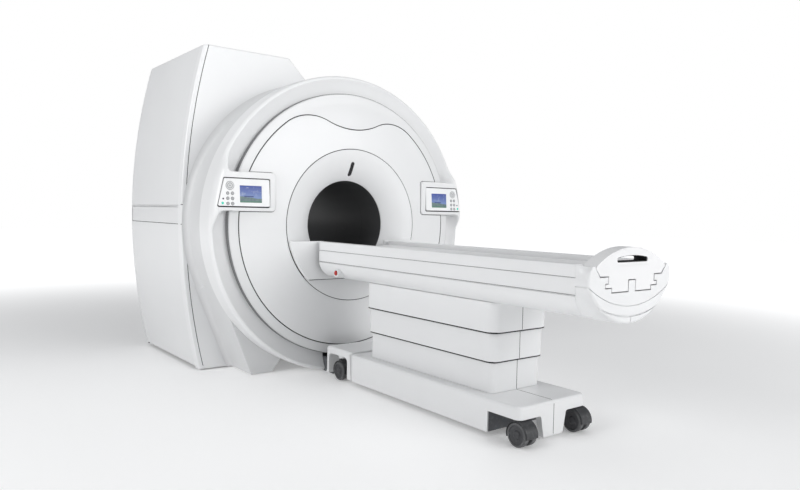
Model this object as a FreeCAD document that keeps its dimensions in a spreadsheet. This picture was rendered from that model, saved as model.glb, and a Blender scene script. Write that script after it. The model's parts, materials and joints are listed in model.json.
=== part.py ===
# MRI scanner: a ring-fronted magnet enclosure with a docked, height-adjustable patient table.
# Millimetres, +Z up. X = 0 is the bore's middle plane, Z = 0 the floor, and the front faces -Y:
# Y = 0 is the plane of the front cover's inner rim, and the table reaches towards -Y.
import math
import os

import FreeCAD, Part
import Sketcher

NODES = "parts"
CHAMFER = "PartDesign::Chamfer"
KEY_SIDES = 8
PAD_SIDES = 18
WHEEL_SIDES = 16
HIDDEN_SIDES = 18
ROUND_SIDES = 40
SHOULDER_RUNS = 14
CORNER_RUNS = 3
os.makedirs(NODES, exist_ok=True)
doc = FreeCAD.newDocument("mri_scanner")

# ---------------------------------------------------------------- driving dimensions
SIZES = {
    # magnet enclosure
    "iso_height": 985,
    "bore_radius": 300,
    "wall": 6,
    "seam": 0.6,
    "floor_gap": 4,
    "ring_radius": 1000,
    "ring_inner": 877,
    "ring_front": 52,
    "ring_back": 200,
    "ring_web": 90,
    "ring_rim": 8,
    "channel_rise": 0.205,
    "crest_x": 978,
    "crest_rise": -0.176,
    "crest_back": 76,
    "cover_inner": 509,
    "cover_outer": 816,
    "band_outer": 876.4,
    "band_drop": 45,
    "wave_turn_x": 191,
    "wave_turn_z": 681,
    "wave_valley_rise": 0.103,
    "wave_peak_rise": 0.1515,
    "wave_end_x": 508,
    "funnel_depth": 104,
    "funnel_rise": 0.09,
    "funnel_cut": 165,
    "slot_low": 346,
    "slot_high": 412,
    "slot_radius": 15,
    "slot_inset": 3,
    "neck_radius": 970,
    "foot_half": 645,
    "foot_top_x": 868,
    "foot_top_z": 425,
    "foot_web": 960,
    # tower and side covers
    "tower_front": 500,
    "tower_depth": 1050,
    "tower_round": 26,
    "tower_strip": 60,
    "tower_top": 1165,
    "tower_top_in": 234,
    "tower_top_out": 856,
    "tower_base_out": 879,
    "shoulder_x": 70,
    "shoulder_radius": 1003,
    "side_rise": 0.0624,
    "side_low_rise": 0.0313,
    "skirt_gap": 10,
    "band_low": 13,
    "band_high": 114,
    "band_inset": 4,
    "rear_mouth": 420,
    "rear_funnel": 98,
    # magnet inside
    "vessel_radius": 900,
    "vessel_bore": 470,
    "vessel_start": 240,
    "vessel_length": 1190,
    "coil_start": 262,
    "coil_length": 1146,
    "turret_x": 545,
    "turret_radius": 130,
    "turret_top": 1105,
    "stand_half": 560,
    "stand_beam": 110,
    "stand_rail": 50,
    # docking bridge and lower panel
    "bridge_radius": 492,
    "bridge_top": 106,
    "bridge_bottom": 355,
    "bridge_front": 28,
    "bridge_lift": 0.3,
    "panel_lap": 18,
    "trough_half": 247,
    "trough_floor": 173,
    "tongue_half": 224,
    "tongue_depth": 17,
    "dock_half": 180,
    "dock_height": 96,
    "dock_back": 190,
    "dock_slot": 60,
    "dock_room": 21,
    # control panels
    "tab_inner": 590,
    "tab_low": 80,
    "tab_high": 320,
    "tab_front": 4,
    "tab_skin": 36,
    "tab_root": 80,
    "tab_edge": 988,
    "tab_corner": 14,
    "panel_inner": 628,
    "panel_low": 106,
    "panel_high": 280,
    "panel_top_out": 925,
    "panel_low_out": 955,
    "panel_recess": 10,
    "panel_plate": 9,
    "screen_x": 757,
    "screen_z": 184,
    "screen_wide": 145,
    "screen_high": 104,
    "screen_depth": 4,
    "pad_x": 892,
    "pad_z": 232,
    "pad_radius": 26,
    "key_x": 877,
    "key_pitch_x": 30,
    "key_z": 124,
    "key_pitch_z": 31,
    "key_radius": 10.5,
    "key_proud": 3,
    "key_length": 9,
    "key_gap": 0.5,
    # patient table
    "table_half": 302,
    "table_top": 879,
    "table_front": 56,
    "table_end": 2085,
    "rail_inner": 258,
    "line_z": 823,
    "line_deep": 1.6,
    "line_half": 1.2,
    "groove_z": 750,
    "groove_deep": 5,
    "groove_half": 3,
    "table_bottom": 648,
    "hull_flat": 190,
    "hull_rise": 0.18,
    "table_wall": 12,
    "ledge_z": 818,
    "ledge_half": 226,
    "ledge_thick": 12,
    "cap_end": 2150,
    "cap_top_half": 276,
    "cap_top": 872,
    "cap_wide_z": 790,
    "cap_wide": 304,
    "cap_bottom": 616,
    "cap_side_rise": 0.128,
    "cap_rise": 0.133,
    "cap_round": 8,
    "cap_cut_half": 310,
    "cap_groove_z": 752,
    "cap_groove_dip": 95,
    "cap_line_z": 808,
    "cap_line_dip": 100,
    # cradle and its end plate
    "cradle_half": 240,
    "cradle_top": 852,
    "cradle_rim": 15,
    "cradle_bow": 2120,
    "cradle_front": 70,
    "grip_start": 2080,
    "grip_half": 250,
    "grip_low": 872,
    "grip_bow": 444,
    "grip_slot_half": 112,
    "grip_slot_low": 884,
    "grip_slot_high": 904,
    "grip_slot_bow": 640,
    "step_a_half": 254,
    "step_a": 862,
    "step_c_half": 222,
    "step_c": 829,
    "step_d_half": 166,
    "step_d": 795,
    "step_e_half": 186,
    "step_e": 780,
    "step_f_half": 142,
    "step_f": 760,
    "tooth_half": 28,
    "tooth_top": 810,
    "puzzle_gap": 2,
    # stop buttons
    "stop_y": 276,
    "stop_z": 693,
    "stop_lug": 26,
    "stop_lug_out": 312,
    "stop_lug_in": 240,
    "stop_radius": 14,
    "stop_out": 319,
    "stop_depth": 18,
    # telescoping column
    "tier_half": 205,
    "tier_front": 440,
    "tier_end": 1535,
    "tier_corner": 62,
    "tier_step": 14,
    "tier_wall": 5,
    "tier_rim": 12,
    "tier_one": 498,
    "tier_two": 350,
    "tier_two_top": 560,
    "tier_three_top": 400,
    "lift_radius": 60,
    "lift_wall": 8,
    "fit": 0.3,
    "lift_flange": 84,
    "lift_y": 987,
    "lift_low": 60,
    "lift_high": 400,
    "rod_low": 360,
    "rod_high": 746,
    "rod_plate_deep": 110,
    "rod_plate_thick": 12,
    # base
    "base_half": 243,
    "base_end": 1750,
    "base_front": 345,
    "base_low": 23,
    "base_top": 190,
    "base_corner": 36,
    "base_edge": 14,
    "base_wall": 6,
    "arch_top": 128,
    "arch_start": 1545,
    "leg_top_half": 92,
    "leg_low_half": 66,
    "leg_low": 18,
    "arm_front": 55,
    "arm_top": 198,
    "arm_half": 235,
    "arm_arch_front": 88,
    "arm_arch_back": 302,
    "arm_arch_top": 155,
    "arm_edge": 18,
    # casters
    "caster_x": 200,
    "caster_end_y": 1710,
    "caster_dock_y": 195,
    "caster_ceiling": 135,
    "caster_block": 44,
    "wheel_radius": 58,
    "wheel_wide": 32,
    "wheel_gap": 10,
    "wheel_round": 8,
    "wheel_trail": 20,
    "hood_half": 7,
    "hood_radius": 36,
    "axle_radius": 6,
    "stem_radius": 12,
}


sheet = doc.addObject("Spreadsheet::Sheet", "dims")
for row, (alias, number) in enumerate(SIZES.items(), start=1):
    sheet.set(f"A{row}", str(number))
    sheet.setAlias(f"A{row}", alias)
    sheet.set(f"B{row}", alias.replace("_", " "))
doc.recompute()


class Size:
    """A length with its value now and the expression that keeps it tied to the sheet."""

    def __init__(self, value, text):
        self.value = value
        self.text = text

    @staticmethod
    def of(other):
        return other if isinstance(other, Size) else Size(other, repr(other))

    def _join(self, other, sign, value):
        left, right = (part.text or "0" for part in (self, Size.of(other)))
        return Size(value, f"({left} {sign} {right})")

    def __add__(self, other):
        return self._join(other, "+", self.value + Size.of(other).value)

    def __sub__(self, other):
        return self._join(other, "-", self.value - Size.of(other).value)

    def __mul__(self, other):
        return self._join(other, "*", self.value * Size.of(other).value)

    def __truediv__(self, other):
        return self._join(other, "/", self.value / Size.of(other).value)

    def __neg__(self):
        if self.text is None:
            return self
        return Size(-self.value, f"(0 - {self.text})")

    def at_radius(self, radius):
        """The other leg of a right triangle whose long side is radius."""
        value = math.sqrt(radius.value**2 - self.value**2)
        return Size(value, f"sqrt({radius.text} * {radius.text} - {self.text} * {self.text})")


class Dims:
    """Every cell of the sheet as a Size, by its alias."""

    def __getattr__(self, name):
        return Size(float(SIZES[name]), f"dims.{name}")


d = Dims()
ZERO = Size(0.0, None)


def bind(thing, prop, size):
    """Set a property and tie it to the sheet."""
    size = Size.of(size)
    thing.setExpression(prop, size.text)


# ---------------------------------------------------------------- bodies and sketches
def new_body(label):
    body = doc.addObject("PartDesign::Body", label)
    body.Label = label
    return body


def origin_part(body, role):
    return next(f for f in body.Origin.OriginFeatures if f.Role == role)


def new_sketch(body, plane="XZ_Plane", at=ZERO):
    """A sketch on one of the body's own planes, moved along Y (XZ), Z (XY) or X (YZ) to 'at'."""
    sketch = body.newObject("Sketcher::SketchObject", "Sketch")
    sketch.AttachmentSupport = [(origin_part(body, plane), "")]
    sketch.MapMode = "FlatFace"
    if at.text is not None:
        shift = -at if plane == "XZ_Plane" else at
        bind(sketch, ".AttachmentOffset.Base.z", shift)
    return sketch


def pin(sketch, geo, end, x, z):
    """Hold one end of a sketch element at (x, z)."""
    for kind, axis, size in (("DistanceX", -2, x), ("DistanceY", -1, z)):
        if size.text is None:
            sketch.addConstraint(Sketcher.Constraint("PointOnObject", geo, end, axis))
            continue
        index = sketch.addConstraint(Sketcher.Constraint(kind, -1, 1, geo, end, size.value))
        sketch.setExpression(f"Constraints[{index}]", size.text)


def arc_between(start, end, bow):
    """The arc from start to end with the radius bow, to the left of the way if bow is above 0."""
    (x1, z1), (x2, z2) = start, end
    half = math.hypot(x2 - x1, z2 - z1) / 2
    rise = abs(bow) - math.sqrt(max(0.0, bow * bow - half * half))
    side = 1 if bow > 0 else -1
    mx = (x1 + x2) / 2 - side * rise * (z2 - z1) / (2 * half)
    mz = (z1 + z2) / 2 + side * rise * (x2 - x1) / (2 * half)
    vector = FreeCAD.Vector
    return Part.Arc(vector(x1, z1, 0), vector(mx, mz, 0), vector(x2, z2, 0))


def bowed(start, end, rise, runs):
    """A flat curve from start to short of end in straight runs; it stands out to the left of the
    way by the share 'rise' of the distance."""
    way_x, way_z = end[0] - start[0], end[1] - start[1]
    points = []
    for k in range(runs):
        along_way = k / runs
        off = rise * round(4 * along_way * (1 - along_way), 4)
        x = start[0] + way_x * round(along_way, 4) - way_z * off
        z = start[1] + way_z * round(along_way, 4) + way_x * off
        points.append((x, z) if k else start)
    return points


def outline(sketch, corners):
    """A closed outline. A corner is (x, z) or (x, z, bow): a bow rounds the way to the next one."""
    first = sketch.GeometryCount
    count = len(corners)
    ends = []
    for k, corner in enumerate(corners):
        x, z = corner[0], corner[1]
        following = corners[(k + 1) % count]
        a = (x.value, z.value)
        b = (following[0].value, following[1].value)
        if len(corner) == 2:
            line = Part.LineSegment(FreeCAD.Vector(*a, 0), FreeCAD.Vector(*b, 0))
            geo = sketch.addGeometry(line)
            ends.append((geo, 1, 2))
            continue
        bow = corner[2]
        geo = sketch.addGeometry(arc_between(a, b, bow.value))
        start = sketch.getPoint(geo, 1)
        forward = math.hypot(start.x - a[0], start.y - a[1]) < 1e-6
        ends.append((geo, 1, 2) if forward else (geo, 2, 1))
        index = sketch.addConstraint(Sketcher.Constraint("Radius", geo, abs(bow.value)))
        sign = "" if bow.value > 0 else "-"
        sketch.setExpression(f"Constraints[{index}]", f"{sign}{bow.text}")
    for k in range(count):
        geo, _, last = ends[k]
        after, begin, _ = ends[(k + 1) % count]
        sketch.addConstraint(Sketcher.Constraint("Coincident", geo, last, after, begin))
    for k, corner in enumerate(corners):
        geo, begin, _ = ends[k]
        pin(sketch, geo, begin, corner[0], corner[1])
    return first


def circle(sketch, x, z, radius):
    centre = FreeCAD.Vector(x.value, z.value, 0)
    geo = sketch.addGeometry(Part.Circle(centre, FreeCAD.Vector(0, 0, 1), radius.value))
    if x.text is None and z.text is None:
        sketch.addConstraint(Sketcher.Constraint("Coincident", geo, 3, -1, 1))
    else:
        pin(sketch, geo, 3, x, z)
    index = sketch.addConstraint(Sketcher.Constraint("Radius", geo, radius.value))
    sketch.setExpression(f"Constraints[{index}]", radius.text)


def polygon(x, z, radius, sides, chosen):
    """The chosen corners of a regular polygon round (x, z) with its corners on the radius."""
    corners = []
    for k in chosen:
        turn = 2 * math.pi * (k + 0.5) / sides
        corners.append((x + radius * round(math.cos(turn), 6), z + radius * round(math.sin(turn), 6)))
    return corners


def many_sided(sketch, x, z, radius, sides):
    outline(sketch, polygon(x, z, radius, sides, range(sides)))


def box_outline(sketch, x1, x2, z1, z2):
    outline(sketch, [(x1, z1), (x2, z1), (x2, z2), (x1, z2)])


def capsule(sketch, x, z1, z2, radius):
    """A slot with round ends, upright, between the centres z1 and z2."""
    corners = []
    for end, centre in enumerate((z2, z1)):
        for k in range(CORNER_RUNS * 2 + 1):
            turn = math.pi * (end + k / (CORNER_RUNS * 2))
            across = radius * round(math.cos(turn), 5)
            corners.append((x + across, centre + radius * round(math.sin(turn), 5)))
    outline(sketch, corners)


def pad(body, sketch, length, flip=None):
    """Extrude; on the XZ plane this goes towards +Y."""
    feature = body.newObject("PartDesign::Pad", "Pad")
    feature.Profile = sketch
    support = sketch.AttachmentSupport[0][0].Role
    feature.Reversed = support == "XZ_Plane" if flip is None else flip
    bind(feature, "Length", length)
    return feature


def pocket(body, sketch, length=None, flip=None):
    """Cut; on the XZ plane this goes towards +Y, on the others towards + of their axis."""
    feature = body.newObject("PartDesign::Pocket", "Pocket")
    feature.Profile = sketch
    support = sketch.AttachmentSupport[0][0].Role
    feature.Reversed = support != "XZ_Plane" if flip is None else flip
    if length is None:
        feature.Type = "ThroughAll"
        feature.Midplane = True
    else:
        bind(feature, "Length", length)
    return feature


def turned(body, sketch):
    """A full turn of the sketch round the body's Y axis."""
    feature = body.newObject("PartDesign::Revolution", "Turned")
    feature.Profile = sketch
    feature.ReferenceAxis = (origin_part(body, "Y_Axis"), [""])
    feature.Angle = 360
    return feature


def lofted(body, plans, cut=False):
    """A straight-sided body through round plans (radius, place along Y)."""
    sketches = []
    for radius, y in plans:
        sketch = new_sketch(body, at=y)
        many_sided(sketch, ZERO, ZERO, radius, ROUND_SIDES)
        sketches.append(sketch)
    kind = "PartDesign::SubtractiveLoft" if cut else "PartDesign::AdditiveLoft"
    feature = body.newObject(kind, "Loft")
    feature.Profile = sketches[0]
    feature.Sections = sketches[1:]
    feature.Ruled = True
    return feature


def rounded(body, base, chosen, radius, kind="PartDesign::Fillet"):
    """Round the edges of base that the test picks."""
    doc.recompute()
    names = [f"Edge{k + 1}" for k, edge in enumerate(base.Shape.Edges) if chosen(edge)]
    feature = body.newObject(kind, "Rounded")
    feature.Base = (base, names)
    bind(feature, "Radius" if kind.endswith("Fillet") else "Size", radius)
    return feature


def along(edge, axis):
    """Is the edge straight and parallel to the axis?"""
    if edge.Curve.TypeId != "Part::GeomLine":
        return False
    way = edge.Curve.Direction
    return abs(abs((way.x, way.y, way.z)["XYZ".index(axis)]) - 1) < 1e-6


def lies_at(edge, axis, value, slack=0.05):
    """Does the whole edge lie in the plane where the axis has this value?"""
    k = "XYZ".index(axis)
    return all(abs((v.X, v.Y, v.Z)[k] - value) < slack for v in edge.Vertexes)


def is_straight(edge):
    first, last = edge.Vertexes[0].Point, edge.Vertexes[-1].Point
    return len(edge.Vertexes) == 2 and abs(edge.Length - first.distanceToPoint(last)) < 1e-4


def with_flat_facets(shape):
    """The same solid, with each level facet that a loft has left as a free surface made a plane."""
    faces = []
    for face in shape.Faces:
        free = face.Surface.TypeId == "Part::GeomBSplineSurface"
        if free and face.Surface.isPlanar(0.01) and all(is_straight(edge) for edge in face.Edges):
            loops = [[corner.Point for corner in wire.OrderedVertexes] for wire in face.Wires]
            face = Part.Face([Part.makePolygon(loop + loop[:1]) for loop in loops])
        faces.append(face)
    sewn = Part.Compound(faces)
    sewn.sewShape(0.01)
    solid = Part.makeSolid(sewn.Shells[0])
    if solid.Volume < 0:
        solid.reverse()
    return solid


def place(thing, x=ZERO, y=ZERO, z=ZERO):
    for name, size in zip("xyz", (x, y, z)):
        if size.text is not None:
            bind(thing, f"Placement.Base.{name}", size)


def on_axis(label):
    """A body whose own origin is the bore's axis at Y = 0."""
    body = new_body(label)
    place(body, z=d.iso_height)
    return body


finished = []


def keep(thing):
    finished.append(thing)


# ---------------------------------------------------------------- front cover, band and ring
def depth_at(radius):
    """Where the front's shallow cone is along Y at a radius."""
    return (radius - d.cover_inner) * d.band_drop / (d.band_outer - d.cover_inner)


def wave(offset):
    """The wavy top edge, from its right end to its left one, and the round edge below it, moved out
    by offset."""
    edge = d.cover_outer + offset
    end_z = d.wave_end_x.at_radius(edge)
    turn = d.wave_turn_z + offset
    right, left = (d.wave_end_x, end_z), (-d.wave_end_x, end_z)
    turn_right, turn_left = (d.wave_turn_x, turn), (-d.wave_turn_x, turn)
    points = bowed(right, turn_right, -d.wave_peak_rise, 5)
    points += bowed(turn_right, turn_left, d.wave_valley_rise, 6)
    points += bowed(turn_left, left, -d.wave_peak_rise, 5) + [left]
    first, last = math.ceil(ROUND_SIDES * 0.357), math.floor(ROUND_SIDES * 1.143)
    return points + polygon(ZERO, ZERO, edge, ROUND_SIDES, range(first, last))


def cover_plate(body, outer):
    """The front's shallow cone from the inner rim out to 'outer', as a plate of even depth."""
    inner = d.cover_inner + d.seam / 2
    beyond = outer + d.wall
    lofted(body, [(inner, depth_at(inner)), (outer, depth_at(outer))])
    sketch = new_sketch(body, at=depth_at(outer))
    many_sided(sketch, ZERO, ZERO, outer, ROUND_SIDES)
    pad(body, sketch, d.wall)
    lofted(body, [(inner, depth_at(inner) + d.wall), (beyond, depth_at(beyond) + d.wall)], cut=True)
    sketch = new_sketch(body, at=depth_at(inner) - 1)
    many_sided(sketch, ZERO, ZERO, inner, ROUND_SIDES)
    pocket(body, sketch, d.band_drop + d.wall * 2)


def tab_window(body):
    """Room for the two control tabs that reach over the cover."""
    for side in (1, -1):
        sketch = new_sketch(body)
        near = (d.tab_inner - d.seam) * side
        far = (d.ring_radius + d.seam) * side
        box_outline(sketch, near, far, d.tab_low - d.seam, d.tab_high + d.seam)
        pocket(body, sketch)


def build_front_cover():
    body = on_axis("front_cover")
    cover_plate(body, d.cover_outer + d.wall)
    sketch = new_sketch(body)
    circle(sketch, ZERO, ZERO, d.ring_radius)
    outline(sketch, wave(-(d.seam / 2)))
    pocket(body, sketch)
    tab_window(body)
    keep(body)


def build_badge_band():
    body = on_axis("badge_band")
    cover_plate(body, d.band_outer)
    sketch = new_sketch(body)
    outline(sketch, wave(d.seam / 2))
    pocket(body, sketch)
    keep(body)


def build_gantry_ring():
    body = on_axis("gantry_ring")
    sketch = new_sketch(body, "XY_Plane")
    rim = d.ring_radius - d.ring_rim
    lip = (d.ring_inner, d.band_drop)
    crest = (d.crest_x, d.ring_front)
    shoulder = (d.ring_radius, d.crest_back)
    outline(
        sketch,
        bowed(lip, crest, d.channel_rise, 2)
        + bowed(crest, shoulder, d.crest_rise, 2)
        + [
            shoulder,
            (d.ring_radius, d.ring_back),
            (rim, d.ring_back),
            (rim, d.ring_web),
            (d.ring_inner, d.ring_web),
        ],
    )
    turned(body, sketch)
    for side in (1, -1):
        sketch = new_sketch(body, at=-d.tab_front)
        low_x = d.tab_low.at_radius(d.tab_edge)
        high_x = d.tab_high.at_radius(d.tab_edge)
        bow = d.tab_edge * -side
        outline(
            sketch,
            [
                (d.tab_inner * side, d.tab_low),
                (low_x * side, d.tab_low, bow),
                (high_x * side, d.tab_high),
                (d.tab_inner * side, d.tab_high),
            ],
        )
        pad(body, sketch, d.tab_front + d.tab_skin)
        sketch = new_sketch(body, at=d.tab_skin - 2)
        root = d.ring_inner + d.seam
        outline(
            sketch,
            [
                (low_x * side, d.tab_low, bow),
                (high_x * side, d.tab_high),
                (d.tab_high.at_radius(root) * side, d.tab_high, -root * -side),
                (d.tab_low.at_radius(root) * side, d.tab_low),
            ],
        )
        tab = pad(body, sketch, d.tab_root - d.tab_skin + 2)
    inner = d.tab_inner.value
    rounded(body, tab, lambda e: along(e, "Y") and abs(abs(e.CenterOfMass.x) - inner) < 1, d.tab_corner)
    for side in (1, -1):
        sketch = new_sketch(body, at=-d.tab_front)
        outline(sketch, panel_outline(side, ZERO))
        pocket(body, sketch, d.panel_recess)
    floor_cut(body, d.ring_front - d.ring_web, d.ring_back + d.ring_web)
    keep(body)


def floor_cut(body, start, end):
    """Trim what would reach below the floor gap, and make room for the docking frame."""
    floor = d.floor_gap - d.iso_height
    sketch = new_sketch(body, at=start)
    box_outline(sketch, -d.ring_radius * 1.2, d.ring_radius * 1.2, -d.ring_radius * 1.2, floor)
    pocket(body, sketch, end - start)
    sketch = new_sketch(body, at=start)
    room = d.dock_half + d.seam
    box_outline(sketch, -room, room, floor - 50, d.dock_height + d.dock_room - d.iso_height)
    pocket(body, sketch, end - start)


def build_neck_shroud():
    body = on_axis("neck_shroud")
    start = d.ring_back + d.seam
    end = d.tower_front - d.seam
    sketch = new_sketch(body, at=start)
    many_sided(sketch, ZERO, ZERO, d.neck_radius, ROUND_SIDES)
    pad(body, sketch, end - start)
    sketch = new_sketch(body, at=start)
    floor = d.floor_gap - d.iso_height
    web = -d.foot_web * 0.7
    outline(
        sketch,
        [
            (d.foot_top_x, -d.foot_top_z),
            (d.foot_half, floor),
            (-d.foot_half, floor),
            (-d.foot_top_x, -d.foot_top_z),
            (-d.foot_half, web),
            (d.foot_half, web),
        ],
    )
    pad(body, sketch, end - start)
    sketch = new_sketch(body, at=start - 5)
    many_sided(sketch, ZERO, ZERO, d.neck_radius - d.wall, ROUND_SIDES)
    pocket(body, sketch, end - start + 10)
    floor_cut(body, start - 5, end + 5)
    keep(body)


# ---------------------------------------------------------------- funnel, window and bore
def funnel_shell(body, back):
    """The flare from the inner rim down to the bore, moved back by 'back'."""
    rim = d.cover_inner - d.seam / 2
    mouth = d.bore_radius + 1
    lip = d.funnel_depth + back - d.wall
    bend = (rim + mouth) / 2 - (lip - back) * d.funnel_rise
    middle = (lip + back) / 2 - (rim - mouth) * d.funnel_rise
    sketch = new_sketch(body, at=back)
    many_sided(sketch, ZERO, ZERO, rim, ROUND_SIDES)
    pad(body, sketch, d.wall)
    wall = d.wall
    lofted(body, [(rim, back + wall), (bend, middle + wall), (mouth, lip + wall)])
    lofted(body, [(rim + 1, back - 0.5), (bend, middle), (mouth, lip)], cut=True)
    sketch = new_sketch(body, at=lip - 1)
    many_sided(sketch, ZERO, ZERO, mouth, ROUND_SIDES)
    pocket(body, sketch, d.wall * 2)


def build_front_funnel():
    body = on_axis("front_funnel")
    funnel_shell(body, ZERO)
    sketch = new_sketch(body)
    capsule(sketch, ZERO, d.slot_low, d.slot_high, d.slot_radius)
    pocket(body, sketch)
    sketch = new_sketch(body)
    box_outline(sketch, -d.ring_radius, d.ring_radius, -d.ring_radius, -d.funnel_cut)
    pocket(body, sketch)
    keep(body)


def build_laser_window():
    """The dark window in the slot: a plug of the flare, set back a little."""
    body = on_axis("laser_window")
    funnel_shell(body, d.slot_inset)
    sketch = new_sketch(body)
    many_sided(sketch, ZERO, ZERO, d.ring_radius, KEY_SIDES)
    capsule(sketch, ZERO, d.slot_low, d.slot_high, d.slot_radius - 0.4)
    pocket(body, sketch)
    keep(body)


def build_bore_liner():
    end = d.tower_front + d.tower_depth - d.rear_funnel - d.seam
    start = d.funnel_depth + d.seam
    body = on_axis("bore_liner")
    sketch = new_sketch(body, at=start)
    many_sided(sketch, ZERO, ZERO, d.bore_radius + 8, ROUND_SIDES)
    many_sided(sketch, ZERO, ZERO, d.bore_radius + 1, ROUND_SIDES)
    pad(body, sketch, end - start)
    keep(body)


def build_bridge():
    """The block that closes the lower part of the mouth and carries the cradle's track."""
    body = on_axis("dock_bridge")
    sketch = new_sketch(body, at=-d.bridge_front)
    top_x = d.bridge_top.at_radius(d.bridge_radius)
    low_x = d.bridge_bottom.at_radius(d.bridge_radius)
    outline(
        sketch,
        [
            (low_x, -d.bridge_bottom, -d.bridge_radius),
            (top_x, -d.bridge_top),
            (d.trough_half, -d.bridge_top),
            (d.trough_half, -d.trough_floor),
            (-d.trough_half, -d.trough_floor),
            (-d.trough_half, -d.bridge_top),
            (-top_x, -d.bridge_top, -d.bridge_radius),
            (-low_x, -d.bridge_bottom),
        ],
    )
    block = pad(body, sketch, d.bridge_front - d.bridge_lift)
    front = -d.bridge_front.value
    rounded(body, block, lambda e: lies_at(e, "Y", front), Size.of(5), CHAMFER)
    sketch = new_sketch(body, at=-(d.bridge_lift + 6))
    low = d.trough_floor + d.tongue_depth
    box_outline(sketch, -d.tongue_half, d.tongue_half, -low, -d.trough_floor)
    end = d.tower_front + d.tower_depth - d.rear_funnel - d.seam * 2
    pad(body, sketch, end + d.bridge_lift + 6)
    keep(body)


def build_lower_panel():
    body = on_axis("lower_panel")
    radius = d.cover_inner - d.seam * 3
    top = d.bridge_bottom - d.panel_lap
    half = top.at_radius(radius)
    sketch = new_sketch(body)
    outline(sketch, [(-half, -top, -radius), (ZERO, -radius, -radius), (half, -top)])
    pad(body, sketch, d.wall)
    keep(body)


# ---------------------------------------------------------------- control panels
def panel_outline(side, shrink):
    """The slanted plate's outline, on the side +1 or -1."""
    return [
        ((d.panel_inner + shrink) * side, d.panel_low + shrink),
        ((d.panel_low_out - shrink) * side, d.panel_low + shrink),
        ((d.panel_top_out - shrink) * side, d.panel_high - shrink),
        ((d.panel_inner + shrink) * side, d.panel_high - shrink),
    ]


def key_places(side):
    """The six keys, in two columns of three, outward of the screen."""
    for row in range(3):
        for column in range(2):
            x = (d.key_x + d.key_pitch_x * column) * side
            yield x, d.key_z + d.key_pitch_z * row


def build_panel(side, word):
    plate_front = d.panel_recess - d.tab_front - d.panel_plate - 0.3
    body = on_axis(f"panel_plate_{word}")
    sketch = new_sketch(body, at=plate_front)
    outline(sketch, panel_outline(side, Size.of(0.5)))
    pad(body, sketch, d.panel_plate)
    sketch = new_sketch(body, at=plate_front)
    half_x, half_z = d.screen_wide / 2, d.screen_high / 2
    left, right = d.screen_x * side - half_x, d.screen_x * side + half_x
    box_outline(sketch, left, right, d.screen_z - half_z, d.screen_z + half_z)
    pocket(body, sketch, d.screen_depth)
    sketch = new_sketch(body, at=plate_front - 1)
    many_sided(sketch, d.pad_x * side, d.pad_z, d.pad_radius + d.key_gap, PAD_SIDES)
    for x, z in key_places(side):
        many_sided(sketch, x, z, d.key_radius + d.key_gap, KEY_SIDES)
    pocket(body, sketch, d.panel_plate + 2)
    keep(body)

    body = on_axis(f"screen_{word}")
    sketch = new_sketch(body, at=plate_front + 0.4)
    inset = Size.of(0.5)
    box_outline(sketch, left + inset, right - inset, d.screen_z - half_z + inset, d.screen_z + half_z - inset)
    pad(body, sketch, d.screen_depth - 0.7)
    keep(body)

    key_start = plate_front - d.key_proud
    body = on_axis(f"pad_{word}")
    sketch = new_sketch(body, at=key_start)
    many_sided(sketch, d.pad_x * side, d.pad_z, d.pad_radius, PAD_SIDES)
    pad(body, sketch, d.key_length)
    keep(body)
    for number, (x, z) in enumerate(key_places(side)):
        body = on_axis(f"key_{word}_{number + 1}")
        sketch = new_sketch(body, at=key_start)
        many_sided(sketch, x, z, d.key_radius, KEY_SIDES)
        pad(body, sketch, d.key_length)
        keep(body)


# ---------------------------------------------------------------- tower, sides and rear
def tower_outline(inset):
    """The enclosure seen from the front: tall left tower, round right shoulder, bowed sides."""
    floor = d.skirt_gap - d.iso_height + inset
    radius = d.shoulder_radius - inset
    slant = inset * 0.42
    top = d.tower_top - inset
    shoulder = []
    for k in range(SHOULDER_RUNS + 1):
        turn = math.radians(94.0 - (94.0 - 5.3) * k / SHOULDER_RUNS)
        shoulder.append((radius * round(math.cos(turn), 6), radius * round(math.sin(turn), 6)))
    left_side = bowed((-(d.tower_base_out - inset), floor), (-(d.tower_top_out - inset), top), d.side_rise, 6)
    right_foot = (d.tower_base_out - inset, floor)
    right_side = bowed(shoulder[-1], right_foot, d.side_low_rise, 5) + [right_foot]
    corners = left_side + [(-(d.tower_top_out - inset), top), (-(d.tower_top_in + slant), top)]
    return corners + shoulder[:-1] + right_side


def build_tower_front():
    body = on_axis("tower_front")
    sketch = new_sketch(body, at=d.tower_front)
    outline(sketch, tower_outline(ZERO))
    many_sided(sketch, ZERO, ZERO, d.neck_radius - d.wall * 6, ROUND_SIDES)
    block = pad(body, sketch, d.tower_strip)
    front = d.tower_front.value
    floor = d.skirt_gap.value - d.iso_height.value

    def outer_edge(e):
        middle = e.CenterOfMass
        outside = math.hypot(middle.x, middle.z) > d.neck_radius.value - 30
        return lies_at(e, "Y", front) and not lies_at(e, "Z", floor) and outside

    rounded(body, block, outer_edge, d.tower_round, CHAMFER)
    sketch = new_sketch(body, at=d.tower_front + d.wall * 2)
    outline(sketch, tower_outline(d.wall * 4))
    pocket(body, sketch, d.tower_strip)
    sketch = new_sketch(body, at=d.tower_front + d.wall)
    room = d.stand_half + d.seam
    box_outline(sketch, -room, room, -d.iso_height, d.skirt_gap + d.wall * 5 - d.iso_height)
    pocket(body, sketch, d.tower_strip)
    keep(body)


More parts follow.
